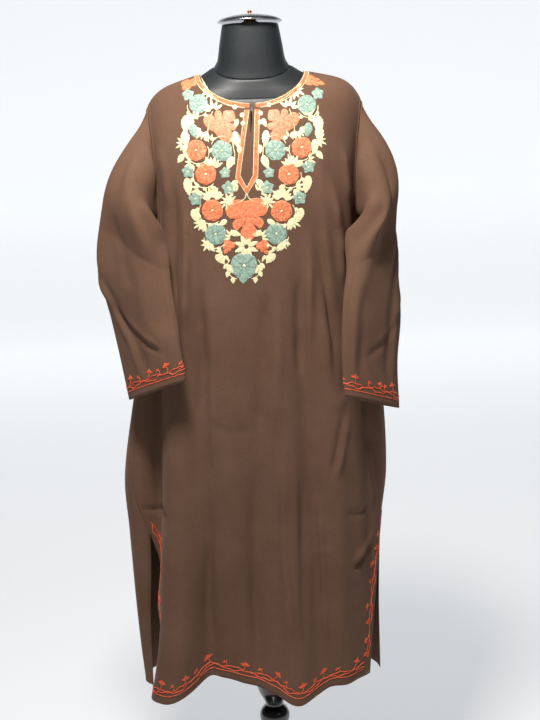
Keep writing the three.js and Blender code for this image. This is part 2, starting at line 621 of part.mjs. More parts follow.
// Where the sleeve meets the panels both walls are mitred, so the cells' directions change too
function sewSleeve(side) {
  const armhole = armholeLoop(side === 'left');
  const rings = sleeveRings(side, armhole);
  const normals = ringNormals(rings);
  armhole.forEach(({ cells }, c) => {
    const panelOut = cells.reduce((sum, cell) => sum.add(cell.out), new THREE.Vector3()).normalize();
    const spreadOut = Math.max(1 + panelOut.dot(normals[0][c]), sharpestMitre);
    const mitre = panelOut.add(normals[0][c]).divideScalar(spreadOut);
    normals[0][c] = mitre;
    cells.forEach((cell) => {
      cell.out = mitre;
    });
  });
  const inner = rings.map((ring, r) => ring.map((at, c) => at.clone().addScaledVector(normals[r][c], -wall)));
  return wallBetween(rings, inner, true);
}

// A solid body through a stack of rounded rings
function ringStack(rings, count) {
  const exponent = 2 / formRoundness;
  const positions = [];
  const indices = [];
  rings.forEach(({ z, half, front, back, middle, fallFront, fallBack }) => {
    for (let j = 0; j < count; j += 1) {
      const angle = 2 * Math.PI * j / count;
      const x = half * power(Math.sin(angle), exponent);
      const reach = power(Math.cos(angle), exponent);
      const y = middle - (reach > 0 ? front : back) * reach;
      positions.push(x, y, z - (reach > 0 ? fallFront : fallBack) * Math.abs(y - middle));
    }
  });
  const id = (r, j) => r * count + (j % count);
  for (let r = 0; r < rings.length - 1; r += 1) {
    for (let j = 0; j < count; j += 1) {
      indices.push(id(r, j), id(r, j + 1), id(r + 1, j + 1), id(r, j), id(r + 1, j + 1), id(r + 1, j));
    }
  }
  [0, rings.length - 1].forEach((r) => {
    const { z, middle } = rings[r];
    const centre = positions.length / 3;
    positions.push(0, middle, z);
    for (let j = 0; j < count; j += 1) {
      indices.push(...(r === 0 ? [centre, id(r, j + 1), id(r, j)] : [centre, id(r, j), id(r, j + 1)]));
    }
  });
  return facingOut(positions, indices);
}

function turned(profile, count) {
  const points = profile.map(([radius, z]) => new THREE.Vector2(radius, z));
  const spun = new THREE.LatheGeometry(points, count).rotateX(Math.PI / 2);
  ['normal', 'uv'].forEach((name) => spun.deleteAttribute(name));
  const merged = mergeVertices(spun);
  return facingOut([...merged.attributes.position.array], solidFaces(merged.index.array));
}

// Faces with three different corners; a turned profile has slivers where it meets the axis
function solidFaces(faces) {
  const kept = [];
  for (let i = 0; i < faces.length; i += 3) {
    const [a, b, c] = [faces[i], faces[i + 1], faces[i + 2]];
    if (a !== b && b !== c && c !== a) kept.push(a, b, c);
  }
  return kept;
}

const clothFinish = () => new THREE.MeshStandardMaterial({ color: '#5f4739', roughness: 0.92 });
const borderFinish = () => new THREE.MeshStandardMaterial({ color: '#e0764a', roughness: 0.7 });
const yokeFinish = () => new THREE.MeshStandardMaterial({ color: '#b9a486', roughness: 0.75 });
const formFinish = () => new THREE.MeshStandardMaterial({ color: '#33373a', roughness: 0.6 });
const lacquerFinish = () => new THREE.MeshStandardMaterial({ color: '#141416', roughness: 0.18 });
const steelFinish = () => new THREE.MeshStandardMaterial({ color: '#b7b8ba', roughness: 0.3, metalness: 1 });
const brassFinish = () => new THREE.MeshStandardMaterial({ color: '#b98a52', roughness: 0.35, metalness: 1 });

const pheran = new THREE.Group();
function addPiece(name, geometry, finish) {
  const mesh = new THREE.Mesh(geometry, finish());
  mesh.name = name;
  pheran.add(mesh);
}

const frontRows = panelGrid('front', 9, 14);
const backRows = panelGrid('back', 7, 8);
const sleeveWalls = { left: sewSleeve('left'), right: sewSleeve('right') };
const frontIn = drawIn(frontRows);
const backIn = drawIn(backRows);

function makeGarment() {
  const slitWedge = frontPrism([
    [slit.topX - slit.width / 2, slit.topZ],
    [slit.tipX, slit.tipZ],
    [slit.topX + slit.width / 2, slit.topZ],
  ]);
  const front = wallBetween(layer(frontIn, 0), layer(frontIn, -wall));
  addPiece('front_panel', geometryOf(solidOf(front).subtract(slitWedge)), clothFinish);
  addPiece('back_panel', wallBetween(layer(backIn, 0), layer(backIn, -wall)), clothFinish);
  addPiece('sleeve_left', sleeveWalls.left, clothFinish);
  addPiece('sleeve_right', sleeveWalls.right, clothFinish);
}

function makeEmbroidery() {
  const upper = frontIn.filter((_, r) => panelLevels[r] < yokeEndLevel);
  const sheet = solidOf(wallBetween(layer(upper, seamGap + embroidery), layer(upper, seamGap)));
  const border = sheet.intersect(frontPrism(borderOutline(0))).subtract(frontPrism(placketOpening()));
  addPiece('neck_border', geometryOf(border), borderFinish);
  const yoke = sheet.intersect(frontPrism(scalloped(yokeOutline)))
    .subtract(frontPrism(borderOutline(2 * seamGap)));
  addPiece('yoke_embroidery', geometryOf(yoke), yokeFinish);
}

// The rings under the shoulder seams follow the tunic, with the seat gap left free
function makeForm() {
  const upperRings = shoulderRings.map((ring) => (
    { ...ring, z: shoulderLine(-ring.half) - wall - seatGap, middle: ridgeY }));
  addPiece('form_torso', ringStack([...torsoRings, ...upperRings, neckSeam], segments.form), formFinish);
  const raised = neckRings.map((ring) => ({ ...ring, z: ring.z + seamGap }));
  addPiece('form_neck', ringStack(raised, segments.form), formFinish);
}

function makeCap() {
  const boss = turned([[0, 0], [15, 0], [15, 4], [11, 6], [11, 9.7], [0, 9.7]], segments.boss);
  addPiece('cap_boss', boss.translate(0, capMiddleY, capZ), brassFinish);
  const dish = turned([
    [0, 10], [20, 9.6], [40, 7.6], [54, 3.6], [56.5, 4.4], [56.5, 6], [52, 9.6], [40, 13.6], [20, 17],
    [0, capHeight],
  ], segments.dish);
  addPiece('neck_cap', dish.translate(0, capMiddleY, capZ), steelFinish);
  const knob = turned([[0, 0], [3, 0], [2.4, 1.4], [4, 3], [4, 4.6], [2.2, 6], [0, 6.4]], segments.knob);
  addPiece('cap_knob', knob.translate(0, capMiddleY, capZ + capHeight + seamGap), brassFinish);
}

function makeStand() {
  const pole = [
    [0, 28.3], [46, 28.3], [47, 34], [40, 42], [24, 50], [20, 62], [18, 90], [17, 130], [19, 158], [25, 166],
    [25, 174], [20, 181], [25, 192], [29, 205], [28.5, 214], [24, 223], [17, 230], [17, 234], [21, 243],
    [29, 258], [34, 276], [35, 292], [31, 312], [22, 336], [19, 352], [18, 400], [17, 560], [18, 670],
    [26, 684], [54, 692], [56, 701.7], [0, 701.7],
  ];
  addPiece('stand_pole', turned(pole, segments.pole), lacquerFinish);
  const base = [
    [0, 0], [182, 0], [186, 4], [186, 14], [180, 20], [150, 23.5], [90, 27], [60, 28], [0, 28],
  ];
  addPiece('stand_base', turned(base, segments.base), lacquerFinish);
}

makeGarment();
makeEmbroidery();
makeForm();
makeCap();
makeStand();

export default pheran;
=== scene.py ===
# A long wool tunic on a dress form: thin cloth shells, stitched threads and a lacquered stand
import math

import bpy
import numpy as np
from mathutils import Matrix, Vector
from mathutils.bvhtree import BVHTree


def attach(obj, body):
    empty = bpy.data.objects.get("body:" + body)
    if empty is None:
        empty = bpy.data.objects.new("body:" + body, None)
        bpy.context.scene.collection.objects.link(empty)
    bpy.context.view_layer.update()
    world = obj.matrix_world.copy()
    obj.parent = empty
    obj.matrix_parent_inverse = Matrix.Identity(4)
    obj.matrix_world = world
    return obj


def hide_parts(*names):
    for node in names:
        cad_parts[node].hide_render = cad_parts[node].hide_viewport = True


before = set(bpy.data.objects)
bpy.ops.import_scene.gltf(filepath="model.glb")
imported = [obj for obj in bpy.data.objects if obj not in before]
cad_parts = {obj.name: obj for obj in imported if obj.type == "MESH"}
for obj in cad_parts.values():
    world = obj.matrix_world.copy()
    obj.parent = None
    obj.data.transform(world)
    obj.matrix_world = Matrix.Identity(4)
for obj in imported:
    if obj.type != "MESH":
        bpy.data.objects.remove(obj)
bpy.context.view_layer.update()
print("frame loaded")

# Everything is laid out in millimetres, with +Z up and the front towards -Y
wall = 1.5
bustZ, underarmZ, slitTopZ = 1190.0, 1150.0, 597.0
neckHalf, neckZ, ridgeY = 91.0, 1418.0, -4.0
shoulderTip = {"left": 185.0, "right": 190.0}
shoulderFall = {"left": 28.0, "right": 20.0}
shoulderRound = {"left": 24.0, "right": 33.0}
yokeBend = {"front": 1.9, "frontTips": 0.3, "back": 2.3}
armholeBow = 5.0
roundness = 2.5
foldRadius = 165.0
armholeAngle = math.radians(68.6)
neckDrop = {"front": 54.0, "back": 14.0}
neckCurve = 1.2
hemZ = {"front": 314.0, "back": 292.0}

sectionHeights = [1190, 1090, 1000, 850, 700, 597, 450, 300]
sectionTable = {
    "left": [190, 197, 210, 237, 262, 259, 254, 247],
    "right": [190, 188, 198, 218, 223, 211, 206, 207],
    "front": [130, 131, 130, 128, 124, 121, 116, 112],
    "back": [104, 104, 104, 108, 112, 112, 111, 110],
    "tuckLeft": [0, 0, 0, 0, 0, 0, 24, 42],
    "tuckRight": [0, 0, 0, 0, 0, 0, 2, 8],
}
edgeHeights = [1150, 850, 597, 510, 300]
edgeTable = {
    "leftFront": [90, 76, 61, 62, 65],
    "leftBack": [90, 76, 61, 64, 75],
    "rightFront": [90, 88, 86, 75, 62],
    "rightBack": [90, 88, 86, 89, 93],
}

# Folds: middle at bust, hip and hem, depth at seven heights, half width at bust and hem, crest, pull
foldHeights = [1190, 1060, 940, 780, 597, 450, 300]
foldStations = [1190, 780, 300]
foldTable = [
    ("front", [-128, -146, -173], [0, 2, 4, 8, 16, 34, 60], [18, 42], 3.4, 17),
    ("front", [-176, -208, -238], [-8, -14, -24, -34, -36, -24, -14], [22, 32], 2, 0),
    ("front", [-104, -117, -118], [0, -4, -8, -11, -13, -14, -14], [12, 19], 2, -12),
    ("front", [-60, -72, -84], [0, 2, 4, 6, 4, -4, -14], [20, 30], 2, -14),
    ("front", [-6, -8, -21], [0, 0, -3, -6, -9, -9, -6], [18, 18], 2, -4),
    ("front", [30, 38, 42], [0, 0, 4, 7, 12, 21, 36], [16, 26], 2, 20),
    ("front", [66, 76, 84], [0, -3, -8, -10, -10, -6, 4], [13, 17], 2, 6),
    ("front", [112, 124, 130], [6, 8, 7, 8, 9, 9, 9], [14, 26], 2, 2),
    ("front", [176, 190, 182], [-9, -18, -20, -18, -10, -4, 0], [22, 22], 2, 0),
    ("back", [-120, -150, -165], [4, 6, 8, 10, 14, 18, 24], [20, 34], 2, 6),
    ("back", [-70, -85, -95], [0, -2, -6, -9, -11, -13, -15], [16, 24], 2, -6),
    ("back", [-20, -22, -28], [-4, -1, 4, 8, 12, 16, 20], [18, 30], 2, 8),
    ("back", [35, 44, 48], [-3, -5, -7, -9, -11, -12, -13], [16, 24], 2, -6),
    ("back", [100, 112, 122], [4, 5, 7, 10, 13, 17, 22], [20, 32], 2, 5),
]

def curveThrough(stations, values, straight=False):
    order = np.argsort(stations)
    xs = np.array(stations, float)[order]
    ys = np.array(values, float)[order]
    low = np.maximum(np.arange(len(xs)) - 1, 0)
    high = np.minimum(np.arange(len(xs)) + 1, len(xs) - 1)
    slopes = (ys[high] - ys[low]) / (xs[high] - xs[low])

    def read(x):
        at = np.clip(x, xs[0], xs[-1])
        i = np.clip(np.searchsorted(xs, at) - 1, 0, len(xs) - 2)
        span = xs[i + 1] - xs[i]
        t = (at - xs[i]) / span
        if straight:
            return ys[i] + (ys[i + 1] - ys[i]) * t
        pull = t * (1 - t) ** 2 * slopes[i] + t * t * (t - 1) * slopes[i + 1]
        return ys[i] + (ys[i + 1] - ys[i]) * t * t * (3 - 2 * t) + pull * span

    return read

section = {name: curveThrough(sectionHeights, values) for name, values in sectionTable.items()}
edge = {name: curveThrough(edgeHeights, values, True) for name, values in edgeTable.items()}
folds = [
    {
        "face": face,
        "middle": curveThrough(foldStations, middle),
        "depth": curveThrough(foldHeights, depth),
        "width": width,
        "shape": shape,
        "pull": pull,
    }
    for face, middle, depth, width, shape, pull in foldTable
]

def power(value, exponent):
    return np.sign(value) * np.abs(value) ** exponent

def mix(a, b, t):
    return a + (b - a) * t

def smooth(low, high, value):
    t = np.clip((value - low) / (high - low), 0, 1)
    return t * t * (3 - 2 * t)

def halfWidth(z, isRight, face):
    left = section["left"](z) - (np.maximum(section["tuckLeft"](z), 0) if face == "front" else 0)
    right = section["right"](z) - (np.maximum(section["tuckRight"](z), 0) if face == "front" else 0)
    return np.where(isRight, right, left)

def angleAt(x, half):
    return np.sign(x) * np.arcsin(np.minimum(np.abs(x) / half, 1) ** (roundness / 2))

def foldWeight(fold, angle, z, face):
    x = fold["middle"](z)
    front = angleAt(x, halfWidth(z, x > 0, face))
    middle = np.where(fold["face"] == "front", front, math.pi - front)
    turn = np.arctan2(np.sin(angle - middle), np.cos(angle - middle))
    down = np.clip((bustZ - z) / (bustZ - foldStations[2]), 0, 1)
    width = mix(fold["width"][0], fold["width"][1], down)
    return np.exp(-(np.abs(turn * foldRadius / width) ** fold["shape"]))

def plainSection(angle, z, face):
    half = halfWidth(z, np.sin(angle) > 0, face)
    depth = np.where(np.cos(angle) > 0, section["front"](z), section["back"](z))
    x = half * power(np.sin(angle), 2 / roundness)
    y = -depth * power(np.cos(angle), 2 / roundness)
    across = power(x / half, roundness - 1) / half
    away = power(y / depth, roundness - 1) / depth
    outward = np.stack([across, away, 0 * x], -1)
    return x, y, outward / np.linalg.norm(outward, axis=-1, keepdims=True)

def foldShift(angle, z, face):
    return sum(fold["depth"](z) * foldWeight(fold, angle, z, face) for fold in folds)

def skirtPoint(angle, z, face):
    x, y, outward = plainSection(angle, z, face)
    return np.stack([x, y, z + 0 * x], -1) + outward * foldShift(angle, z, face)[..., None]

def bySide(table, x):
    return np.where(x > 0, table["right"], table["left"])

def shoulderLine(x):
    tip = bySide(shoulderTip, x)
    fall = bySide(shoulderFall, x)
    share = (np.abs(x) - neckHalf) / (tip - neckHalf)
    crest = fall / 2 * neckHalf / (tip - neckHalf) * (1 - (x / neckHalf) ** 2)
    slope = fall * share + bySide(shoulderRound, x) * np.maximum(share, 0) ** 6
    return neckZ + np.where(share < 0, crest, -slope)

def neckline(x, face):
    turn = np.arcsin(np.clip(x / neckHalf, -1, 1))
    return neckZ - neckDrop[face] * np.abs(np.cos(turn)) ** neckCurve

def yokeColumn(angle, face):
    x, y, _ = plainSection(angle, bustZ, face)
    edgeX = halfWidth(bustZ, x > 0, face) * math.sin(armholeAngle) ** (2 / roundness)
    tip = bySide(shoulderTip, x)
    topX = x * tip / edgeX
    crown = shoulderLine(topX) - bustZ
    outward = np.minimum(np.abs(topX) / tip, 1)
    bend = yokeBend[face] + (yokeBend["frontTips"] * outward if face == "front" else 0 * x)
    share = np.where(np.abs(topX) < neckHalf, (neckline(topX, face) - bustZ) / crown, 1)
    return x, y, edgeX, topX, crown, bend, np.arcsin(np.clip(share, 0, 1) ** (bend / 2))

def yokePoint(angle, turn, face):
    start = skirtPoint(angle, bustZ, face)
    x, y, edgeX, topX, crown, bend, _ = yokeColumn(angle, face)
    lift = np.abs(np.sin(turn)) ** (2 / bend)
    reach = power(np.cos(turn), 2 / bend)
    bow = armholeBow * np.sin(math.pi * lift) * (x / edgeX) ** 3
    fade = (1 - lift) ** 2
    return np.stack([
        mix(x, topX, lift) - bow + (start[..., 0] - x) * fade,
        ridgeY + (y - ridgeY) * reach + (start[..., 1] - y) * fade,
        bustZ + crown * lift,
    ], -1)

def hemHeight(angle, face):
    return hemZ[face] - sum(fold["pull"] * foldWeight(fold, angle, foldStations[2], face) for fold in folds)

# Levels down the tunic: 0 shoulder seam, 1 bust, 2 underarm, 3 top of the slits, 4 hem
def tunicPoint(local, level, face):
    angle = local + (0 if face == "front" else math.pi)
    if level < 1:
        return yokePoint(angle, (1 - level) * yokeColumn(angle, face)[-1], face)
    if level < 2:
        return skirtPoint(angle, mix(bustZ, underarmZ, level - 1) + 0 * angle, face)
    if level < 3:
        return skirtPoint(angle, mix(underarmZ, slitTopZ, level - 2) + 0 * angle, face)
    return skirtPoint(angle, mix(slitTopZ, hemHeight(angle, face), level - 3), face)

def panelEdges(level, face):
    if level <= 2:
        dip = min(max(level - 1, 0), 1)
        angle = mix(armholeAngle, math.pi / 2, 1 - math.sqrt(1 - dip * dip))
        return -angle, angle
    z = mix(underarmZ, slitTopZ, level - 2) if level < 3 else mix(slitTopZ, hemZ[face], level - 3)
    if face == "front":
        return -math.radians(edge["leftFront"](z)), math.radians(edge["rightFront"](z))
    return math.radians(edge["rightBack"](z)) - math.pi, math.pi - math.radians(edge["leftBack"](z))

def columnAngles(level, face, sideColumns, neckColumns):
    start, end = panelEdges(level, face)
    count = 2 * sideColumns + neckColumns
    bustHalf = halfWidth(bustZ, True, face)
    edgeX = bustHalf * math.sin(armholeAngle) ** (2 / roundness)
    tips = [shoulderTip["left"], shoulderTip["right"]]
    if face == "back":
        tips.reverse()
    i = np.arange(count + 1)
    turn = ((np.clip(i, sideColumns, count - sideColumns) - sideColumns) / neckColumns - 0.5) * math.pi
    fitted = angleAt(neckHalf * np.sin(turn) * edgeX / np.where(turn > 0, tips[1], tips[0]), bustHalf)
    fitted = np.where(i < sideColumns, mix(start, fitted, i / sideColumns), fitted)
    fitted = np.where(i > count - sideColumns, mix(end, fitted, (count - i) / sideColumns), fitted)
    return mix(fitted, mix(start, end, i / count), smooth(2, 2.45, level))

# Rows of an armhole by its own running number, from the shoulder at 0 to the underarm at 12
def armholeLevel(number):
    return number / 9 if number <= 9 else 1 + math.sin((number - 9) * math.pi / 6)

def vertexNormals(points, faces):
    cross = np.cross(points[faces[:, 2]] - points[faces[:, 0]], points[faces[:, -1]] - points[faces[:, 1]])
    normals = np.zeros_like(points)
    for k in range(faces.shape[1]):
        np.add.at(normals, faces[:, k], cross)
    return normals / np.maximum(np.linalg.norm(normals, axis=1, keepdims=True), 1e-9)

def gridFaces(rows, columns, wrapped=False):
    ids = np.arange(rows * columns).reshape(rows, columns)
    if wrapped:
        ids = np.hstack([ids, ids[:, :1]])
    return np.stack([ids[:-1, :-1], ids[1:, :-1], ids[1:, 1:], ids[:-1, 1:]], -1).reshape(-1, 4)

# A closed thin wall under a sheet of faces, which are numbered counter-clockwise from outside
def shellOf(points, faces, thickness):
    inner = points - vertexNormals(points, faces) * thickness
    count, corners = len(points), faces.shape[1]
    edges = np.concatenate([faces[:, [k, (k + 1) % corners]] for k in range(corners)])
    _, first, uses = np.unique(np.sort(edges, axis=1), axis=0, return_index=True, return_counts=True)
    rim = edges[first[uses == 1]]
    walls = np.column_stack([rim[:, 1], rim[:, 0], rim[:, 0] + count, rim[:, 1] + count])
    return np.vstack([points, inner]), [*faces.tolist(), *(faces[:, ::-1] + count).tolist(), *walls.tolist()]

def addMesh(name, points, faces, material):
    mesh = bpy.data.meshes.new(name)
    mesh.from_pydata((np.asarray(points) * 0.001).tolist(), [], faces)
    mesh.materials.append(material)
    mesh.polygons.foreach_set("use_smooth", [True] * len(mesh.polygons))
    mesh.update()
    made = bpy.data.objects.new(name, mesh)
    bpy.context.scene.collection.objects.link(made)
    return made

# A crease is a soft ridge (depth above 0) or trough along a path in the front or back view
def creaseShift(x, z, path, depth, width):
    path = np.array(path, float)
    lengths = np.linalg.norm(np.diff(path, axis=0), axis=1)
    reached = np.concatenate([[0], np.cumsum(lengths)]) / lengths.sum()
    nearest = np.full(x.shape, 1e9)
    along = np.zeros(x.shape)
    for k in range(len(lengths)):
        run = path[k + 1] - path[k]
        t = np.clip(((x - path[k][0]) * run[0] + (z - path[k][1]) * run[1]) / lengths[k] ** 2, 0, 1)
        apart = np.hypot(x - path[k][0] - run[0] * t, z - path[k][1] - run[1] * t)
        closer = apart < nearest
        nearest = np.where(closer, apart, nearest)
        along = np.where(closer, mix(reached[k], reached[k + 1], t), along)
    fade = smooth(0, 0.3, along) * smooth(0, 0.3, 1 - along)
    uneven = 1 + 0.22 * np.sin(9 * along + path[0][0]) + 0.1 * np.sin(23 * along + path[0][1])
    width = width * (1 + 0.2 * np.sin(6 * along + path[0][1]))
    return depth * fade * uneven * np.exp(-((nearest / width) ** 2))

# Creases of the front and the back in their own view: path, depth and width
frontCreases = [
    ([(124, 1250), (132, 1190), (142, 1120), (147, 1040)], 9.4, 8.5),
    ([(104, 1200), (106, 1120), (116, 1050), (128, 960), (126, 860)], -10.2, 8.5),
    ([(92, 1150), (88, 1060), (84, 960), (82, 860)], 5.6, 6.8),
    ([(70, 1080), (66, 980), (66, 880)], -5.3, 6.8),
    ([(150, 1290), (158, 1240), (163, 1190)], 3.5, 6.8),
    ([(-138, 1250), (-144, 1150), (-148, 1060), (-146, 960)], -8.6, 7.6),
    ([(-122, 1210), (-122, 1110), (-130, 1020), (-136, 940)], 7.1, 6.8),
    ([(-163, 1300), (-155, 1240), (-150, 1190)], 3.1, 6.8),
    ([(-104, 1070), (-102, 940), (-108, 800)], -7.2, 8.5),
    ([(-80, 1050), (-84, 930), (-88, 800), (-86, 700)], 5.3, 8.5),
    ([(14, 1060), (6, 960), (-4, 860), (-12, 740)], -7.8, 8.5),
    ([(34, 1060), (30, 950), (22, 840), (20, 760)], 5.0, 7.6),
    ([(26, 800), (30, 700), (28, 590), (34, 470), (33, 340)], 7.8, 6.8),
    ([(-12, 760), (-22, 620), (-28, 480), (-26, 340)], -9.4, 11.0),
    ([(-104, 720), (-106, 600), (-112, 470), (-112, 360)], -7.1, 7.6),
    ([(94, 700), (96, 580), (98, 450), (100, 350)], 5.6, 6.8),
    ([(62, 740), (64, 620), (60, 480), (62, 380)], -6.2, 6.8),
    ([(-236, 650), (-205, 642), (-172, 646)], -3.7, 4.5),
    ([(140, 640), (165, 634), (190, 640)], -3.7, 4.5),
    ([(152, 830), (140, 770), (124, 700)], 4.7, 4.5),
    ([(140, 828), (128, 766), (114, 700)], -4.7, 4.5),
    ([(176, 800), (192, 730), (200, 664), (198, 600)], -7.2, 6.0),
    ([(150, 540), (172, 562), (196, 590)], 5.6, 5.1),
    ([(150, 524), (172, 546), (198, 570)], -5.0, 5.1),
    ([(120, 830), (150, 860), (176, 900)], 2.8, 8.5),
    ([(-100, 820), (-60, 800), (-10, 806)], -1.4, 7.6),
    ([(60, 560), (100, 574), (140, 570)], 1.2, 8.5),
    ([(-204, 780), (-196, 700), (-192, 610)], -3.7, 7.6),
    ([(116, 470), (122, 400), (120, 340)], 2.5, 7.6),
]
backCreases = [
    ([(-150, 1300), (-140, 1220), (-120, 1130)], 3.2, 11),
    ([(152, 1300), (140, 1200), (128, 1110)], 3.0, 11),
    ([(-60, 1330), (-66, 1240), (-62, 1130)], -2.0, 13),
    ([(58, 1330), (64, 1230), (52, 1120)], -2.0, 13),
    ([(-110, 1060), (-70, 1020), (-10, 1010)], 2.2, 10),
    ([(120, 1040), (80, 1000), (20, 990)], -2.0, 11),
    ([(4, 900), (10, 760), (4, 620), (12, 470)], 2.6, 12),
    ([(-130, 880), (-134, 720), (-126, 560)], -2.6, 12),
    ([(150, 880), (158, 740), (150, 600)], -2.4, 11),
    ([(-190, 660), (-150, 652), (-110, 660)], -1.4, 7),
]
panels = {
    "front": {"sideColumns": 42, "neckColumns": 58, "rows": (44, 92, 56), "creases": frontCreases},
    "back": {"sideColumns": 32, "neckColumns": 40, "rows": (44, 70, 44), "creases": backCreases},
}
slit = {"top": (-0.5, 1372.0), "tip": (-4.2, 1314.0), "width": 4.6, "reach": 16.0}

def panelLevels(counts):
    upper = [armholeLevel(12 * i / counts[0]) for i in range(counts[0])]
    middle = [2 + i / counts[1] for i in range(counts[1])]
    return upper + middle + [3 + i / counts[2] for i in range(counts[2] + 1)]

def panelPoints(face):
    settings = panels[face]
    rows = [
        tunicPoint(columnAngles(level, face, settings["sideColumns"], settings["neckColumns"]), level, face)
        for level in panelLevels(settings["rows"])
    ]
    grid = np.array(rows)
    shape = grid.shape
    flat = grid.reshape(-1, 3)
    normals = vertexNormals(flat, gridFaces(shape[0], shape[1]))
    relief = sum(creaseShift(flat[:, 0], flat[:, 2], *crease) for crease in settings["creases"])
    rim = np.minimum(1, np.arange(shape[0]) / 10)[:, None] * np.ones(shape[1])
    return (flat + normals * (relief * rim.ravel())[:, None]).reshape(shape)

# The neck slit parts the cloth along a leaning line: the two middle columns are drawn apart
def openSlit(grid):
    middle = grid.shape[1] // 2
    left, right = grid[:, : middle + 1].copy(), grid[:, middle:].copy()
    for half, sign in ((left, -1), (right, 1)):
        x, z = half[..., 0], half[..., 2]
        share = np.clip((slit["top"][1] - z) / (slit["top"][1] - slit["tip"][1]), 0, 1)
        near = np.exp(-((x / slit["reach"]) ** 2))
        fade = smooth(slit["tip"][1] - 60, slit["tip"][1], z)
        lean = mix(slit["top"][0], slit["tip"][0], share) * fade
        half[..., 0] = x + near * (lean + sign * slit["width"] / 2 * (1 - share) ** 0.7)
    return left, right

def frontSheet():
    left, right = openSlit(frontGrid)
    rows, columns = left.shape[:2]
    points = np.vstack([left.reshape(-1, 3), right.reshape(-1, 3)])
    faces = np.vstack([gridFaces(rows, columns), gridFaces(rows, right.shape[1]) + rows * columns])
    joined = np.arange(len(points))
    for r in range(rows):
        a, b = r * columns + columns - 1, rows * columns + r * right.shape[1]
        if np.linalg.norm(points[a] - points[b]) < 0.05:
            joined[b] = a
    return points, joined[faces]

frontGrid = panelPoints("front")
backGrid = panelPoints("back")
frontPoints, frontFaces = frontSheet()
frontTree = BVHTree.FromPolygons(frontPoints.tolist(), frontFaces.tolist())
print("panels laid out", frontGrid.shape, backGrid.shape)

# Sleeves: rings from the armhole's own points to the flattened cuff
sleeveTables = {
    "left": {
        "outer": [(-185, -4, 1366), (-217, -4, 1306), (-251, -14, 1238), (-275, -28, 1162),
                  (-282, -42, 1092), (-262, -60, 1000), (-247, -80, 926), (-235, -96, 859)],
        "inner": [(-178, -70, 1200), (-172, -94, 1172), (-163, -114, 1130), (-156, -130, 1084),
                  (-151, -142, 1034), (-143, -152, 985), (-136, -157, 942), (-131, -160, 903)],
        "depth": [70, 58, 44, 33, 26, 22, 19, 16],
    },
    "right": {
        "outer": [(190, -4, 1365), (223, -4, 1304), (229, -14, 1228), (236, -32, 1148),
                  (243, -48, 1068), (246, -64, 988), (238, -80, 908), (239, -94, 827)],
        "inner": [(182, -70, 1200), (171, -96, 1170), (161, -118, 1126), (157, -134, 1080),
                  (146, -146, 1030), (140, -154, 975), (139, -157, 918), (142, -160, 866)],
        "depth": [70, 58, 44, 31, 25, 22, 19, 16],
    },
}
sleeveHeadShare, sleeveClearance, underarmTwist = 0.34, 5.0, math.radians(35)
headPuff = {"forward": 15.0, "inward": 7.0, "share": 0.42}
sleeveRows, armholeSteps = 110, 4
# How much a share of the length counts beside a turn when a crease's width is measured
lengthToTurn = 0.9
overlap = {"left": 5.0, "right": -1.0}

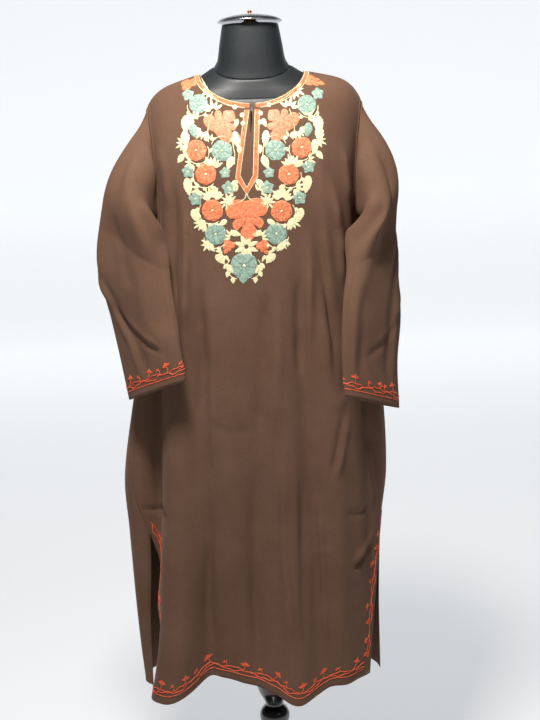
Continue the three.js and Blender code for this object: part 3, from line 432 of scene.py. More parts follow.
# Creases of a sleeve: path by turn (a quarter faces front, a half is the underarm) and share of the
# length, then depth and width
sleeveCreases = {
    "left": [
        ([(0.20, -0.06), (0.30, 0.07), (0.38, 0.15), (0.43, 0.28)], 11.0, 0.06),
        ([(0.10, 0.02), (0.12, 0.3), (0.10, 0.55), (0.09, 0.72)], 5.7, 0.028),
        ([(0.15, 0.05), (0.18, 0.35), (0.16, 0.6)], -5.7, 0.035),
        ([(0.28, 0.02), (0.30, 0.3), (0.27, 0.62), (0.24, 0.9)], 5.1, 0.035),
        ([(0.38, 0.05), (0.37, 0.4), (0.34, 0.8)], -4.6, 0.035),
        ([(0.03, 0.55), (0.12, 0.66), (0.17, 0.78), (0.19, 0.97)], 4.3, 0.013),
        ([(0.06, 0.55), (0.15, 0.66), (0.20, 0.78), (0.22, 0.97)], -3.8, 0.018),
        ([(0.05, 0.58), (0.17, 0.68), (0.31, 0.82)], 3.3, 0.014),
        ([(0.07, 0.61), (0.19, 0.72), (0.31, 0.86)], -3.6, 0.018),
        ([(0.16, 0.34), (0.22, 0.46), (0.24, 0.60)], -2.8, 0.022),
        ([(0.30, 0.66), (0.29, 0.80), (0.27, 0.95)], 2.8, 0.014),
        ([(0.44, 0.12), (0.44, 0.45), (0.44, 0.85)], 3.8, 0.016),
        ([(0.62, 0.10), (0.66, 0.5), (0.70, 0.8)], -5.7, 0.04),
        ([(0.78, 0.05), (0.82, 0.45), (0.86, 0.75)], 4.6, 0.035),
        ([(0.90, 0.52), (0.82, 0.60), (0.72, 0.66)], -4.3, 0.026),
    ],
    "right": [
        ([(0.20, -0.06), (0.30, 0.07), (0.38, 0.15), (0.43, 0.28)], 8.0, 0.06),
        ([(0.09, 0.02), (0.13, 0.25), (0.15, 0.5), (0.17, 0.7)], 5.3, 0.03),
        ([(0.16, 0.04), (0.20, 0.3), (0.23, 0.55)], -5.3, 0.035),
        ([(0.27, 0.02), (0.30, 0.3), (0.31, 0.65), (0.33, 0.92)], 4.9, 0.035),
        ([(0.38, 0.06), (0.40, 0.45), (0.40, 0.8)], -4.9, 0.035),
        ([(0.05, 0.35), (0.11, 0.55), (0.13, 0.75), (0.12, 0.97)], 4.1, 0.014),
        ([(0.08, 0.38), (0.15, 0.58), (0.17, 0.78), (0.16, 0.97)], -4.1, 0.018),
        ([(0.05, 0.62), (0.14, 0.72), (0.24, 0.80)], 3.1, 0.013),
        ([(0.07, 0.66), (0.17, 0.76), (0.28, 0.85)], -3.1, 0.017),
        ([(0.20, 0.10), (0.21, 0.28), (0.26, 0.44)], -3.3, 0.018),
        ([(0.34, 0.55), (0.33, 0.75), (0.32, 0.97)], 3.1, 0.014),
        ([(0.30, 0.50), (0.29, 0.72), (0.28, 0.95)], -3.1, 0.018),
        ([(0.63, 0.12), (0.68, 0.5), (0.70, 0.85)], -5.3, 0.04),
        ([(0.80, 0.05), (0.84, 0.4), (0.82, 0.8)], 4.6, 0.035),
    ],
}

def clearOfBody(points, clearance):
    x, y, z = points[:, 0], points[:, 1], points[:, 2]
    level = np.minimum(z, bustZ)
    half = halfWidth(level, x > 0, "front")
    depth = np.where(y < 0, section["front"](level), section["back"](level))
    angle = np.arctan2(power(x / half, roundness / 2), power(-y / depth, roundness / 2))
    dip = np.clip((bustZ - z) / (bustZ - underarmZ), 0, 1)
    mouth = mix(armholeAngle, math.pi / 2, 1 - np.sqrt(1 - dip * dip))
    plainX, plainY, _ = plainSection(angle, level, "front")
    surface = np.hypot(plainX, plainY) + foldShift(angle, level, "front") + clearance
    reach = np.hypot(x, y)
    inside = (z < bustZ) & ((dip >= 1) | (np.abs(angle) <= mouth)) & (reach < surface)
    scale = np.where(inside, surface / np.maximum(reach, 1e-6), 1)
    return np.column_stack([x * scale, y * scale, z])

def armholeRing(side):
    count = 12 * armholeSteps
    levels = [armholeLevel(k / armholeSteps) for k in range(count + 1)]
    isLeft = side == "left"
    edges = {}
    for face in ("front", "back"):
        atStart = isLeft == (face == "front")
        ends = [np.array([panelEdges(level, face)[0 if atStart else 1]]) for level in levels]
        edges[face] = np.array([tunicPoint(end, level, face)[0] for end, level in zip(ends, levels)])
    front, back = edges["front"], edges["back"]
    top, foot = (front[0] + back[0]) / 2, (front[-1] + back[-1]) / 2
    return np.vstack([top, front[1:-1], foot, back[-2:0:-1]])

def sleeveGrid(side):
    table = sleeveTables[side]
    armhole = armholeRing(side)
    shares = [i / 7 for i in range(8)]
    guides = {}
    for name in ("outer", "inner"):
        guides[name] = [curveThrough(shares, [row[axis] for row in table[name]]) for axis in range(3)]
    depthAt = curveThrough(shares, table["depth"])

    def read(name, t):
        return np.array([float(curve(t)) for curve in guides[name]])

    def middle(t):
        return (read("outer", t) + read("inner", t)) / 2

    turns = 2 * math.pi * np.arange(len(armhole)) / len(armhole)
    frontFold = np.exp(-(((turns / (2 * math.pi) - 0.4) / 0.1) ** 2))
    rings = [armhole]
    for i in range(1, sleeveRows + 1):
        t = i / sleeveRows
        half = (read("outer", t) - read("inner", t)) / 2
        forward = np.cross(half, middle(min(t + 0.02, 1)) - middle(max(t - 0.02, 0)))
        forward = forward / np.linalg.norm(forward) * (-1 if forward[1] > 0 else 1)
        flat = smooth(0, sleeveHeadShare, t)
        tucked = smooth(0, sleeveHeadShare * (1 - 0.55 * frontFold), t)[:, None]
        puff = math.sin(math.pi * min(t / headPuff["share"], 1))
        turn = turns + underarmTwist * flat * (1 - np.cos(turns)) / 2
        lens = middle(t) + np.outer(np.cos(turn), half) + np.outer(np.sin(turn), forward) * depthAt(t)
        push = (forward * headPuff["forward"] - half / np.linalg.norm(half) * headPuff["inward"]) * puff
        pushed = np.outer(np.maximum(np.sin(turns), 0), push)
        hung = mix(armhole + middle(t) - middle(0), lens, tucked) + pushed
        hung[:, 0] += overlap[side] * frontFold * math.sin(math.pi * min(t / 0.4, 1)) ** 0.7
        rings.append(clearOfBody(hung, sleeveClearance * min(6.5 * t, 1)))
    grid = np.array(rings)
    rows, columns = grid.shape[:2]
    flatPoints = grid.reshape(-1, 3)
    faces = gridFaces(rows, columns, True)
    if side == "right":
        faces = faces[:, ::-1]
    normals = vertexNormals(flatPoints, faces)
    turn = np.tile(turns / (2 * math.pi), rows)
    share = np.repeat(np.arange(rows) / (rows - 1), columns)
    relief = 0
    for path, depth, width in sleeveCreases[side]:
        scaled = [(a, b * lengthToTurn) for a, b in path]
        relief = relief + creaseShift(turn, share * lengthToTurn, scaled, depth, width)
    head = 1.6 * np.exp(-(((share - 0.012) / 0.01) ** 2)) * smooth(0, 0.01, share)
    calm = smooth(0, 0.05, share)
    shifted = flatPoints + normals * (relief * calm + head)[:, None]
    return shifted, faces, grid.shape

# Colours are written as seen (sRGB) and turned to linear light
def linearColour(code):
    parts = [int(code[i : i + 2], 16) / 255 for i in (1, 3, 5)]
    return tuple(c / 12.92 if c <= 0.04045 else ((c + 0.055) / 1.055) ** 2.4 for c in parts) + (1.0,)

def addNode(tree, kind, settings=None, **links):
    node = tree.nodes.new(kind)
    for name, value in (settings or {}).items():
        if isinstance(name, int) or name in node.inputs:
            node.inputs[name].default_value = value
        else:
            setattr(node, name, value)
    for name, source in links.items():
        target = int(name[1:]) if name[0] == "i" and name[1:].isdigit() else name.replace("_", " ")
        tree.links.new(source, node.inputs[target])
    return node

def noise(tree, place, scale, detail=2.0, roughness=0.5):
    settings = {"Scale": scale, "Detail": detail, "Roughness": roughness}
    return addNode(tree, "ShaderNodeTexNoise", settings, Vector=place).outputs["Fac"]

def stretched(tree, place, scale):
    return addNode(tree, "ShaderNodeMapping", {"Scale": scale}, Vector=place).outputs["Vector"]

def makeMaterial(name):
    material = bpy.data.materials.new(name)
    material.use_nodes = True
    tree = material.node_tree
    return material, tree, tree.nodes["Principled BSDF"]

def ramp(tree, factor, stops):
    node = addNode(tree, "ShaderNodeValToRGB", Fac=factor)
    elements = node.color_ramp.elements
    for i, (position, code) in enumerate(stops):
        element = elements[i] if i < 2 else elements.new(position)
        element.position = position
        element.color = linearColour(code)
    return node.outputs["Color"]

# Fine fulled wool twill: a soft matt brown with a napped sheen and a faint rib of 1.1 mm
def makeCloth(name, dark, mid, light):
    material, tree, shader = makeMaterial(name)
    place = addNode(tree, "ShaderNodeTexCoord").outputs["Object"]
    broad = noise(tree, place, 9.0, 3.0, 0.55)
    warp = noise(tree, stretched(tree, place, (900.0, 900.0, 120.0)), 1.0, 2.0, 0.6)
    weft = noise(tree, stretched(tree, place, (140.0, 140.0, 1000.0)), 1.0, 2.0, 0.6)
    weave = addNode(tree, "ShaderNodeMath", {"operation": "ADD"}, i0=warp, i1=weft)
    part = {"operation": "MULTIPLY_ADD", 1: 0.35, 2: 0.0}
    spread = addNode(tree, "ShaderNodeMath", part, i0=weave.outputs[0])
    whole = {"operation": "MULTIPLY_ADD", 1: 0.65}
    blend = addNode(tree, "ShaderNodeMath", whole, i0=broad, i2=spread.outputs[0])
    colour = ramp(tree, blend.outputs[0], [(0.30, dark), (0.98, light), (0.64, mid)])
    tree.links.new(colour, shader.inputs["Base Color"])
    shader.inputs["Roughness"].default_value = 0.88
    shader.inputs["IOR"].default_value = 1.45
    shader.inputs["Specular IOR Level"].default_value = 0.28
    shader.inputs["Sheen Weight"].default_value = 0.12
    shader.inputs["Sheen Roughness"].default_value = 0.45
    shader.inputs["Sheen Tint"].default_value = linearColour("#c9a78d")
    bump = addNode(tree, "ShaderNodeBump", {"Strength": 0.22, "Distance": 0.0004}, Height=weave.outputs[0])
    tree.links.new(bump.outputs["Normal"], shader.inputs["Normal"])
    return material

# Two-ply wool or rayon thread: a soft shine along the twist, each stitch a little darker or lighter
def makeThread(name, dark, light, roughness=0.55):
    material, tree, shader = makeMaterial(name)
    place = addNode(tree, "ShaderNodeTexCoord").outputs["Object"]
    patch = noise(tree, place, 260.0, 2.0, 0.6)
    fine = noise(tree, place, 1600.0, 1.0)
    share = {"operation": "MULTIPLY_ADD", 1: 0.4}
    blend = addNode(tree, "ShaderNodeMath", share, i0=fine, i2=patch)
    tree.links.new(ramp(tree, blend.outputs[0], [(0.5, dark), (0.88, light)]), shader.inputs["Base Color"])
    shader.inputs["Roughness"].default_value = roughness
    shader.inputs["IOR"].default_value = 1.52
    shader.inputs["Sheen Weight"].default_value = 0.25
    shader.inputs["Sheen Roughness"].default_value = 0.4
    bump = addNode(tree, "ShaderNodeBump", {"Strength": 0.35, "Distance": 0.0003}, Height=fine)
    tree.links.new(bump.outputs["Normal"], shader.inputs["Normal"])
    return material

# One plain finish for moulded, turned and cast pieces, with a fine unevenness in the gloss
def makeHard(name, code, roughness, metallic=0.0, coat=0.0, grain=40.0, uneven=0.08, ior=1.5):
    material, tree, shader = makeMaterial(name)
    shader.inputs["Base Color"].default_value = linearColour(code)
    shader.inputs["Metallic"].default_value = metallic
    shader.inputs["IOR"].default_value = ior
    shader.inputs["Coat Weight"].default_value = coat
    shader.inputs["Coat Roughness"].default_value = 0.08
    place = addNode(tree, "ShaderNodeTexCoord").outputs["Object"]
    limits = {"To Min": roughness - uneven, "To Max": roughness + uneven}
    gloss = addNode(tree, "ShaderNodeMapRange", limits, Value=noise(tree, place, grain, 4.0))
    tree.links.new(gloss.outputs[0], shader.inputs["Roughness"])
    return material

cloth = makeCloth("wool_cloth", "#543c2e", "#604637", "#6c5242")
threads = {
    "orange": makeThread("orange_thread", "#cc5a30", "#e8966a"),
    "teal": makeThread("teal_thread", "#6a877b", "#a3bcaa"),
    "cream": makeThread("cream_thread", "#cfc58e", "#efe9c3"),
    # Darker copies of the orange and the teal thread: painted shade for the seams between petals; the orange
    # copy also draws the plane-tree leaves' veins
    "vine": makeThread("vine_thread", "#c63f18", "#ec6231"),
    "rust": makeThread("orange_vein_and_seam_shade_thread", "#a93c1f", "#cc5c38"),
    "slate": makeThread("teal_seam_shade_thread", "#48665f", "#6b8b82"),
    "wool": cloth,
}
# Moulded shell with a fine satin skin, near black lacquer on turned wood, steel and brass
finishes = {
    "form_shell": makeHard("form_shell", "#1f2326", 0.5, grain=220.0, uneven=0.1),
    "stand_lacquer": makeHard("stand_lacquer", "#0c0b0c", 0.24, coat=0.6, grain=25.0),
    "cap_steel": makeHard("cap_steel", "#b9bcbf", 0.26, metallic=1.0, grain=90.0, uneven=0.06),
    "cap_brass": makeHard("cap_brass", "#b07a45", 0.32, metallic=1.0, grain=90.0),
}

clothWall = 0.9

def addCloth(name, points, faces):
    shell, shellFaces = shellOf(points, faces, clothWall)
    made = addMesh(name + "_cloth", shell, shellFaces, cloth)
    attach(made, "root")
    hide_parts(name)

backPoints = backGrid.reshape(-1, 3)
backFaces = gridFaces(*backGrid.shape[:2])
sleevesMade = {}
for side in ("left", "right"):
    points, faces, shape = sleeveGrid(side)
    rings = points.reshape(shape)
    outward = (rings - rings.mean(axis=1, keepdims=True)).reshape(-1, 3)
    if np.sum(vertexNormals(points, faces) * outward) < 0:
        faces = faces[:, ::-1]
    sleevesMade[side] = (points, faces, shape)
addCloth("front_panel", frontPoints, frontFaces)
addCloth("back_panel", backPoints, backFaces)
for side, (points, faces, shape) in sleevesMade.items():
    addCloth("sleeve_" + side, points, faces)
print("cloth made")

# Dress form, cap and stand
formRoundness = 2.3
seatGap = 0.8
torsoRings = [
    (702, 156, 88, 84, 0, 0, 0), (712, 162, 92, 88, 0, 0, 0), (790, 168, 96, 94, 0, 0, 0),
    (860, 164, 95, 94, 0, 0, 0), (930, 145, 88, 84, 0, 0, 0), (1000, 128, 84, 76, 0, 0, 0),
    (1060, 130, 92, 78, 0, 0, 0), (1130, 141, 108, 86, 0, 0, 0), (1190, 149, 112, 92, 0, 0, 0),
    (1260, 152, 104, 92, 0, 0, 0), (1320, 158, 88, 82, 0, 0, 0), (1352, 164, 78, 70, 0, 0, 0),
]
shoulderRings = [
    (162, 62, 50, 0.35, 0.3), (146, 61, 48, 0.42, 0.3), (128, 60, 48, 0.42, 0.3),
    (108, 59, 46, 0.42, 0.3), (90, 58, 45, 0.42, 0.26),
]
neckSeam = (1430, 67, 54, 44, -6, 0.5, 0.1)
neckRings = [
    (1430.3, 65, 52, 42, -6, 0.5, 0.1), (1442.3, 59, 50, 41, -7, 0.42, 0.05),
    (1466.3, 55, 49, 42, -8, 0.22, 0), (1499.3, 49, 46, 44, -10, 0, 0),
]
capMiddleY, capZ = -10.0, 1499.3

# Rounded rings (height, half width, front, back, middle, falls) made finer along a smooth curve
def ringStack(name, rings, perRing, slot, count=112, softEdge=1.2):
    rings = np.array(rings, float)
    stations = np.arange(len(rings))
    fine = [curveThrough(stations, rings[:, k]) for k in range(7)]
    t = np.linspace(0, len(rings) - 1, (len(rings) - 1) * perRing + 1)
    values = np.array([curve(t) for curve in fine]).T
    closing = [values[0].copy(), values[-1].copy()]
    for lid, sign in zip(closing, (1, -1)):
        lid[1:4] = lid[1:4] - softEdge
    values[0][0] = values[0][0] + softEdge * 0.6
    values[-1][0] = values[-1][0] - softEdge * 0.6
    values = np.vstack([closing[0], values, closing[1]])
    angle = 2 * math.pi * np.arange(count) / count
    x = values[:, 1, None] * power(np.sin(angle), 2 / formRoundness)
    reach = power(np.cos(angle), 2 / formRoundness)[None, :] + 0 * x
    away = np.where(reach > 0, values[:, 2, None], values[:, 3, None]) * reach
    fall = np.where(reach > 0, values[:, 5, None], values[:, 6, None])
    points = np.stack([x, values[:, 4, None] - away, values[:, 0, None] - fall * np.abs(away)], -1)
    rows = len(values)
    faces = gridFaces(rows, count, True)[:, ::-1].tolist()
    faces += [list(range(count))[::-1], [count * (rows - 1) + j for j in range(count)]]
    made = addMesh(name + "_fine", points.reshape(-1, 3), faces, finishes[slot])
    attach(made, "root")
    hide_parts(name)

def turned(name, profile, slot, count, bottom=0.0, middleY=0.0):
    profile = np.array(profile, float)
    angle = 2 * math.pi * np.arange(count) / count
    inner = profile[1:-1] if profile[0][0] == 0 and profile[-1][0] == 0 else profile
    x = inner[:, 0, None] * np.cos(angle)
    y = inner[:, 0, None] * np.sin(angle) + middleY
    points = np.stack([x, y, inner[:, 1, None] + bottom + 0 * x], -1).reshape(-1, 3)
    rows = len(inner)
    tips = [[0, middleY, profile[0][1] + bottom], [0, middleY, profile[-1][1] + bottom]]
    points = np.vstack([points, tips])
    faces = gridFaces(rows, count, True)[:, ::-1].tolist()
    for j in range(count):
        after = (j + 1) % count
        faces.append([rows * count, after, j])
        faces.append([rows * count + 1, (rows - 1) * count + j, (rows - 1) * count + after])
    made = addMesh(name + "_fine", points, faces, finishes[slot])
    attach(made, "root")
    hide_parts(name)

# A turned profile with its corners eased and its curves made finer
def eased(profile, steps=4, radius=1.2):
    points = [np.array(p, float) for p in profile]
    out = [points[0]]
    for before, at, after in zip(points, points[1:], points[2:]):
        a, b = before - at, after - at
        reach = min(radius, 0.45 * np.linalg.norm(a), 0.45 * np.linalg.norm(b))
        start, end = at + a / np.linalg.norm(a) * reach, at + b / np.linalg.norm(b) * reach
        for k in range(steps + 1):
            s = k / steps
            out.append((1 - s) ** 2 * start + 2 * s * (1 - s) * at + s * s * end)
    out.append(points[-1])
    return np.array(out)

def makeForm():
    upper = []
    for half, front, back, fallFront, fallBack in shoulderRings:
        z = float(shoulderLine(np.array(-half))) - wall - seatGap
        upper.append((z, half, front, back, ridgeY, fallFront, fallBack))
    ringStack("form_torso", [*torsoRings, *upper, neckSeam], 5, "form_shell")
    ringStack("form_neck", neckRings, 8, "form_shell", softEdge=0.8)

def makeCap():
    boss = [[0, 0], [15, 0], [15, 4], [11, 6], [11, 9.7], [0, 9.7]]
    turned("cap_boss", eased(boss, 3, 0.8), "cap_brass", 64, capZ, capMiddleY)
    dish = [
        [0, 10], [20, 9.6], [40, 7.6], [54, 3.6], [56.5, 4.4],
        [56.5, 6], [52, 9.6], [40, 13.6], [20, 17], [0, 18],
    ]
    turned("neck_cap", eased(dish, 5, 6.0), "cap_steel", 128, capZ, capMiddleY)
    knob = [[0, 0], [3, 0], [2.4, 1.4], [4, 3], [4, 4.6], [2.2, 6], [0, 6.4]]
    turned("cap_knob", eased(knob, 4, 0.8), "cap_brass", 48, capZ + 18.3, capMiddleY)

def makeStand():
    pole = [
        [0, 28.3], [46, 28.3], [47, 34], [40, 42], [24, 50], [20, 62], [18, 90], [17, 130], [19, 158],
        [25, 166], [25, 174], [20, 181], [25, 192], [29, 205], [28.5, 214], [24, 223], [17, 230], [17, 234],
        [21, 243], [29, 258], [34, 276], [35, 292], [31, 312], [22, 336], [19, 352], [18, 400], [17, 560],
        [18, 670], [26, 684], [54, 692], [56, 701.7], [0, 701.7],
    ]
    turned("stand_pole", eased(pole, 5, 5.0), "stand_lacquer", 96)
    base = [[0, 0], [182, 0], [186, 4], [186, 14], [180, 20], [150, 23.5], [90, 27], [60, 28], [0, 28]]
    turned("stand_base", eased(base, 5, 3.0), "stand_lacquer", 160)

makeForm()
makeCap()
makeStand()
print("form, cap and stand made")

# Embroidery: rows of chain stitch laid on the cloth. A design is drawn flat and then laid on it.
stitchLift = 0.25
rowWidth = 1.15
sewn = {}

def frontAt(flat):
    placed = np.zeros((len(flat), 3))
    normals = np.zeros((len(flat), 3))
    for i, (x, z) in enumerate(flat.tolist()):
        spot, normal, _, _ = frontTree.ray_cast((x, -400.0, z), (0.0, 1.0, 0.0), 600.0)
        if spot is None:
            spot, normal, _, _ = frontTree.find_nearest((x, ridgeY - 6.0, z))
        placed[i], normals[i] = spot, normal
    return placed, normals

# The camera, fitted to the photo: place and lens in millimetres, tilted down and rolled a little
eye = Vector((14.5, -2200.0, 1300.0))
lensLength, sensorWidth = 60.95, 36.0
viewWidth, viewHeight = 540, 720
aim = Matrix.Rotation(math.radians(90 - 10.2), 4, "X") @ Matrix.Rotation(math.radians(-2.0), 4, "Z")

# The spot of the front panel at one pixel of the view, in whole millimetres across and up
def seenAt(column, row):
    focal = lensLength / sensorWidth * viewHeight
    ray = aim @ Vector((column - viewWidth / 2, viewHeight / 2 - row, -focal))
    spot = frontTree.ray_cast(eye, ray.normalized(), 4000.0)[0]
    return round(spot.x), round(spot.z)

# Keeps stitched points for the mesh of one piece and thread colour
def sew(piece, colour, place, flat, heights, faces):
    placed, normals = place(np.asarray(flat, float))
    corners = np.array([face[:3] for face in faces])
    first = placed[corners[:, 0]]
    cross = np.cross(placed[corners[:, 1]] - first, placed[corners[:, 2]] - first)
    if np.sum(cross * normals[corners[:, 0]]) < 0:
        faces = [face[::-1] for face in faces]
    store = sewn.setdefault((piece, colour), {"points": [], "faces": [], "count": 0})
    store["points"].append(placed + normals * (stitchLift + np.asarray(heights))[:, None])
    store["faces"] += [[corner + store["count"] for corner in face] for face in faces]
    store["count"] += len(placed)

# A patch filled with rows of stitches that follow its outline
def fillPatch(piece, colour, place, outline, middle, lift=0.0, dome=0.35):
    outline, middle = np.asarray(outline, float), np.asarray(middle, float)
    spread = np.linalg.norm(outline - middle, axis=1).mean()
    rings = max(2, 2 * round(spread / rowWidth))
    count = len(outline)
    shares = 1 - np.arange(rings) / rings
    flat = np.vstack([middle + (outline - middle) * share for share in shares] + [middle[None]])
    bead = np.where(np.arange(rings) % 2 == 1, 0.42, 0.12)
    bead[0] = -0.35
    heights = np.concatenate([np.repeat(bead + dome * (1 - shares**2), count), [0.3 + dome]]) + lift
    faces = gridFaces(rings, count, True).tolist()
    last = (rings - 1) * count
    faces += [[last + j, rings * count, last + (j + 1) % count] for j in range(count)]
    sew(piece, colour, place, flat, heights, faces)

# One row of chain stitch along a path: a rounded cord that swells at every stitch
def threadRow(piece, colour, place, path, width=1.5, height=0.75, lift=0.0, pitch=2.6):
    path = np.asarray(path, float)
    lengths = np.concatenate([[0], np.cumsum(np.linalg.norm(np.diff(path, axis=0), axis=1))])
    count = max(3, int(lengths[-1] / 0.85))
    at = np.linspace(0, lengths[-1], count)
    line = np.column_stack([np.interp(at, lengths, path[:, k]) for k in (0, 1)])
    run = np.gradient(line, axis=0)
    run /= np.maximum(np.linalg.norm(run, axis=1, keepdims=True), 1e-6)
    across = np.column_stack([-run[:, 1], run[:, 0]])
    ends = np.minimum(1, np.minimum(at, lengths[-1] - at) / width + 0.25)
    swell = (0.84 + 0.16 * np.abs(np.sin(math.pi * at / pitch))) * ends
    steps = (-1, -0.62, 0, 0.62, 1)
    rises = (-0.3, 0.62, 1, 0.62, -0.3)
    flat = np.concatenate([line + across * (step * width / 2 * swell)[:, None] for step in steps])
    heights = np.concatenate([rise * height * swell + lift for rise in rises])
    sew(piece, colour, place, flat, heights, gridFaces(len(steps), count).tolist())

def turnedBy(points, angle, x, z):
    points = np.asarray(points, float)
    cos, sin = math.cos(angle), math.sin(angle)
    across, up = points[:, 0], points[:, 1]
    return np.column_stack([x + across * cos - up * sin, z + across * sin + up * cos])

def circle(radius, x, z, count):
    turns = 2 * math.pi * np.arange(count) / count
    return np.column_stack([x + radius * np.cos(turns), z + radius * np.sin(turns)])

def softened(corners, rounds=2):
    points = np.asarray(corners, float)
    for _ in range(rounds):
        after = np.roll(points, -1, axis=0)
        points = np.stack([0.75 * points + 0.25 * after, 0.25 * points + 0.75 * after], 1).reshape(-1, 2)
    return points

# A pointed petal or leaf along +x from its foot, with an optional saw edge
def petalOutline(length, width, saw=0.0, teeth=5, blunt=0.75, steps=14):
    t = np.linspace(0, 1, steps + 1)
    half = width / 2 * np.sin(math.pi * t**blunt) ** 0.8 * (1 + saw * np.abs(np.sin(teeth * math.pi * t)))
    upper = np.column_stack([t * length, half])
    return np.vstack([upper, upper[-2:0:-1] * [1, -1]])

def leaf(piece, colour, place, x, z, length, width, angle, saw=0.0, lift=0.0):
    outline = turnedBy(petalOutline(length, width, saw), angle, x, z)
    fillPatch(piece, colour, place, outline, outline.mean(axis=0), lift)

# Each petal colour's darker copy, laid along the gaps between petals as painted shade
shaded = {"orange": "rust", "teal": "slate"}

# A round flower: a disc with a waved edge, petals on it, a darker thread between them as painted shade in
# the gaps, a cream middle
def rosette(piece, colour, place, x, z, radius, petals, turn):
    around = 2 * math.pi * np.arange(64) / 64
    edgeWave = radius * (0.93 + 0.07 * np.abs(np.cos(petals * (around - turn) / 2)))
    fillPatch(piece, colour, place, circle(edgeWave, x, z, 64), (x, z), 0, 0.1)
    for k in range(petals):
        angle = turn + 2 * math.pi * (k + 0.5) / petals
        foot = (x + radius * 0.12 * math.cos(angle), z + radius * 0.12 * math.sin(angle))
        width = 2 * math.sin(math.pi / petals) * radius * 0.86
        outline = turnedBy(petalOutline(radius * 0.86, width, blunt=1.25), angle, *foot)
        fillPatch(piece, colour, place, outline, outline.mean(axis=0), 0.45, 0.3)
        # Painted shade: a row of darker thread along the gap between two petals
        seam = turn + 2 * math.pi * k / petals
        spoke = [
            (x + radius * r * math.cos(seam + 0.05 * r), z + radius * r * math.sin(seam + 0.05 * r))
            for r in (0.16, 0.5, 0.9)
        ]
        threadRow(piece, shaded[colour], place, spoke, 1.0, 0.35, 0.75)
    fillPatch(piece, "cream", place, circle(max(1.1, radius * 0.12), x, z, 12), (x, z), 0.95, 0.3)

def smallFlower(piece, colour, place, x, z, radius):
    for k in range(5):
        angle = 0.4 + 2 * math.pi * k / 5
        foot = (x + 0.12 * radius * math.cos(angle), z + 0.12 * radius * math.sin(angle))
        leaf(piece, colour, place, *foot, radius * 0.95, radius * 0.95, angle, lift=0.1)
    fillPatch(piece, "cream", place, circle(max(1.0, radius * 0.18), x, z, 10), (x, z), 0.7, 0.3)

# Half outlines, top to tip, of the plane-tree leaves and of the buds
chinarHalf = [
    (0, 0.86), (0.32, 1.0), (0.66, 0.98), (0.98, 0.80), (1.06, 0.48), (0.94, 0.14), (0.74, 0.02),
    (0.57, 0.13), (0.53, 0.07), (0.72, -0.1), (0.78, -0.34), (0.66, -0.54), (0.50, -0.58),
    (0.33, -0.36), (0.28, -0.42), (0.42, -0.68), (0.34, -0.9), (0.16, -1.08), (0.0, -1.22),
]
budHalf = [(0, 1.0), (0.5, 0.62), (0.78, 0.1), (0.5, -0.5), (0, -1.0)]

def mirroredOutline(half, width, height, rounds=1):
    half = np.array(half) * [width / 2, height / 2]
    return softened(np.vstack([half, half[-2:0:-1] * [-1, 1]]), rounds)

def chinar(piece, colour, place, x, z, width, height, angle):
    outline = turnedBy(mirroredOutline(chinarHalf, width, height), angle, x, z)
    fillPatch(piece, colour, place, outline, (x, z), 0.1, 0.7)
    foot = 0.24 * height
    for spread in (-0.9, -0.4, 0, 0.4, 0.9):
        reach = height * (0.42 - 0.12 * abs(spread))
        side = reach * math.sin(spread)
        vein = [(0, foot), (0.4 * side, foot - 0.5 * reach), (side, foot - reach * 1.25)]
        threadRow(piece, "rust", place, turnedBy(vein, angle, x, z), 0.9, 0.4, 0.55)

def spray(piece, colour, place, x, z, reach, angle, leaves):
    for k in range(leaves):
        turn = angle + 2.3 * (k / (leaves - 1) - 0.5)
        length = reach * (0.78 + 0.22 * math.cos(turn - angle)) * (1 if k % 2 == 0 else 0.82)
        foot = (x + 0.2 * reach * math.cos(turn), z + 0.2 * reach * math.sin(turn))
        leaf(piece, colour, place, *foot, length * 0.85, reach * 0.27, turn)

# An arc of stem round a flower, with small leaves on its outer side
def stemRound(piece, colour, place, x, z, radius, start, end, leaves):
    turns = np.linspace(start, end, 20)
    swing = radius * (1 + 0.16 * np.sin(np.linspace(0, math.pi, 20)))
    path = np.column_stack([x + swing * np.cos(turns), z + swing * np.sin(turns)])
    threadRow(piece, colour, place, path, 1.7, 0.7, 0.05)
    for k in range(leaves):
        turn = mix(start, end, (k + 0.7) / (leaves + 0.4))
        foot = (x + radius * 1.08 * math.cos(turn), z + radius * 1.08 * math.sin(turn))
        tilt = turn + (0.9 if end > start else -0.9)
        leaf(piece, colour, place, *foot, radius * 0.46, radius * 0.28, tilt, saw=0.2)

orange = ("yoke", "orange", frontAt)
teal = ("yoke", "teal", frontAt)
cream = ("yoke", "cream", frontAt)

# Flowers stand where the view shows them: each starts with the pixel of its middle, which was
# read off and for some moved a little.
# A round flower has its radius in millimetres and its stems: radius, two angles and count of leaves.
roundFlowers = {
    "orange": [
        (196.3, 150.1, 18.6, [(20.5, 4.2, 6.6, 3)]),
        (302, 147.2, 18.6, [(20.5, 5.2, 2.9, 3)]),
        (205.4, 174, 18.8, [(20.5, 3.0, 5.4, 4)]),
        (288.6, 174.5, 18.6, [(20.5, 6.4, 4.0, 4)]),
        (212.5, 210.6, 19.1, [(21, 2.6, 5.2, 5)]),
        (281.9, 211.1, 19.1, [(21, 6.8, 4.2, 5)]),
    ],
    "teal": [
        (198.7, 103.7, 17, [(19, 3.2, 5.6, 3)]),
        (306.8, 104.7, 17, [(19, 6.2, 3.9, 3)]),
        (222.1, 150.6, 18.6, [(20.5, 0.2, 2.6, 3)]),
        (275.2, 150.1, 18.2, [(20.5, 2.9, 0.5, 3)]),
        (215.9, 234, 19.2, [(21, 3.4, 5.6, 4)]),
        (276.6, 234, 19, [(21, 6.0, 3.8, 4)]),
    ],
}
lowFlower = (244.1, 265.6, 23.5, [(25.5, 2.7, 4.2, 3), (25.5, 0.4, -1.1, 3)])
starFlower = (246, 247)
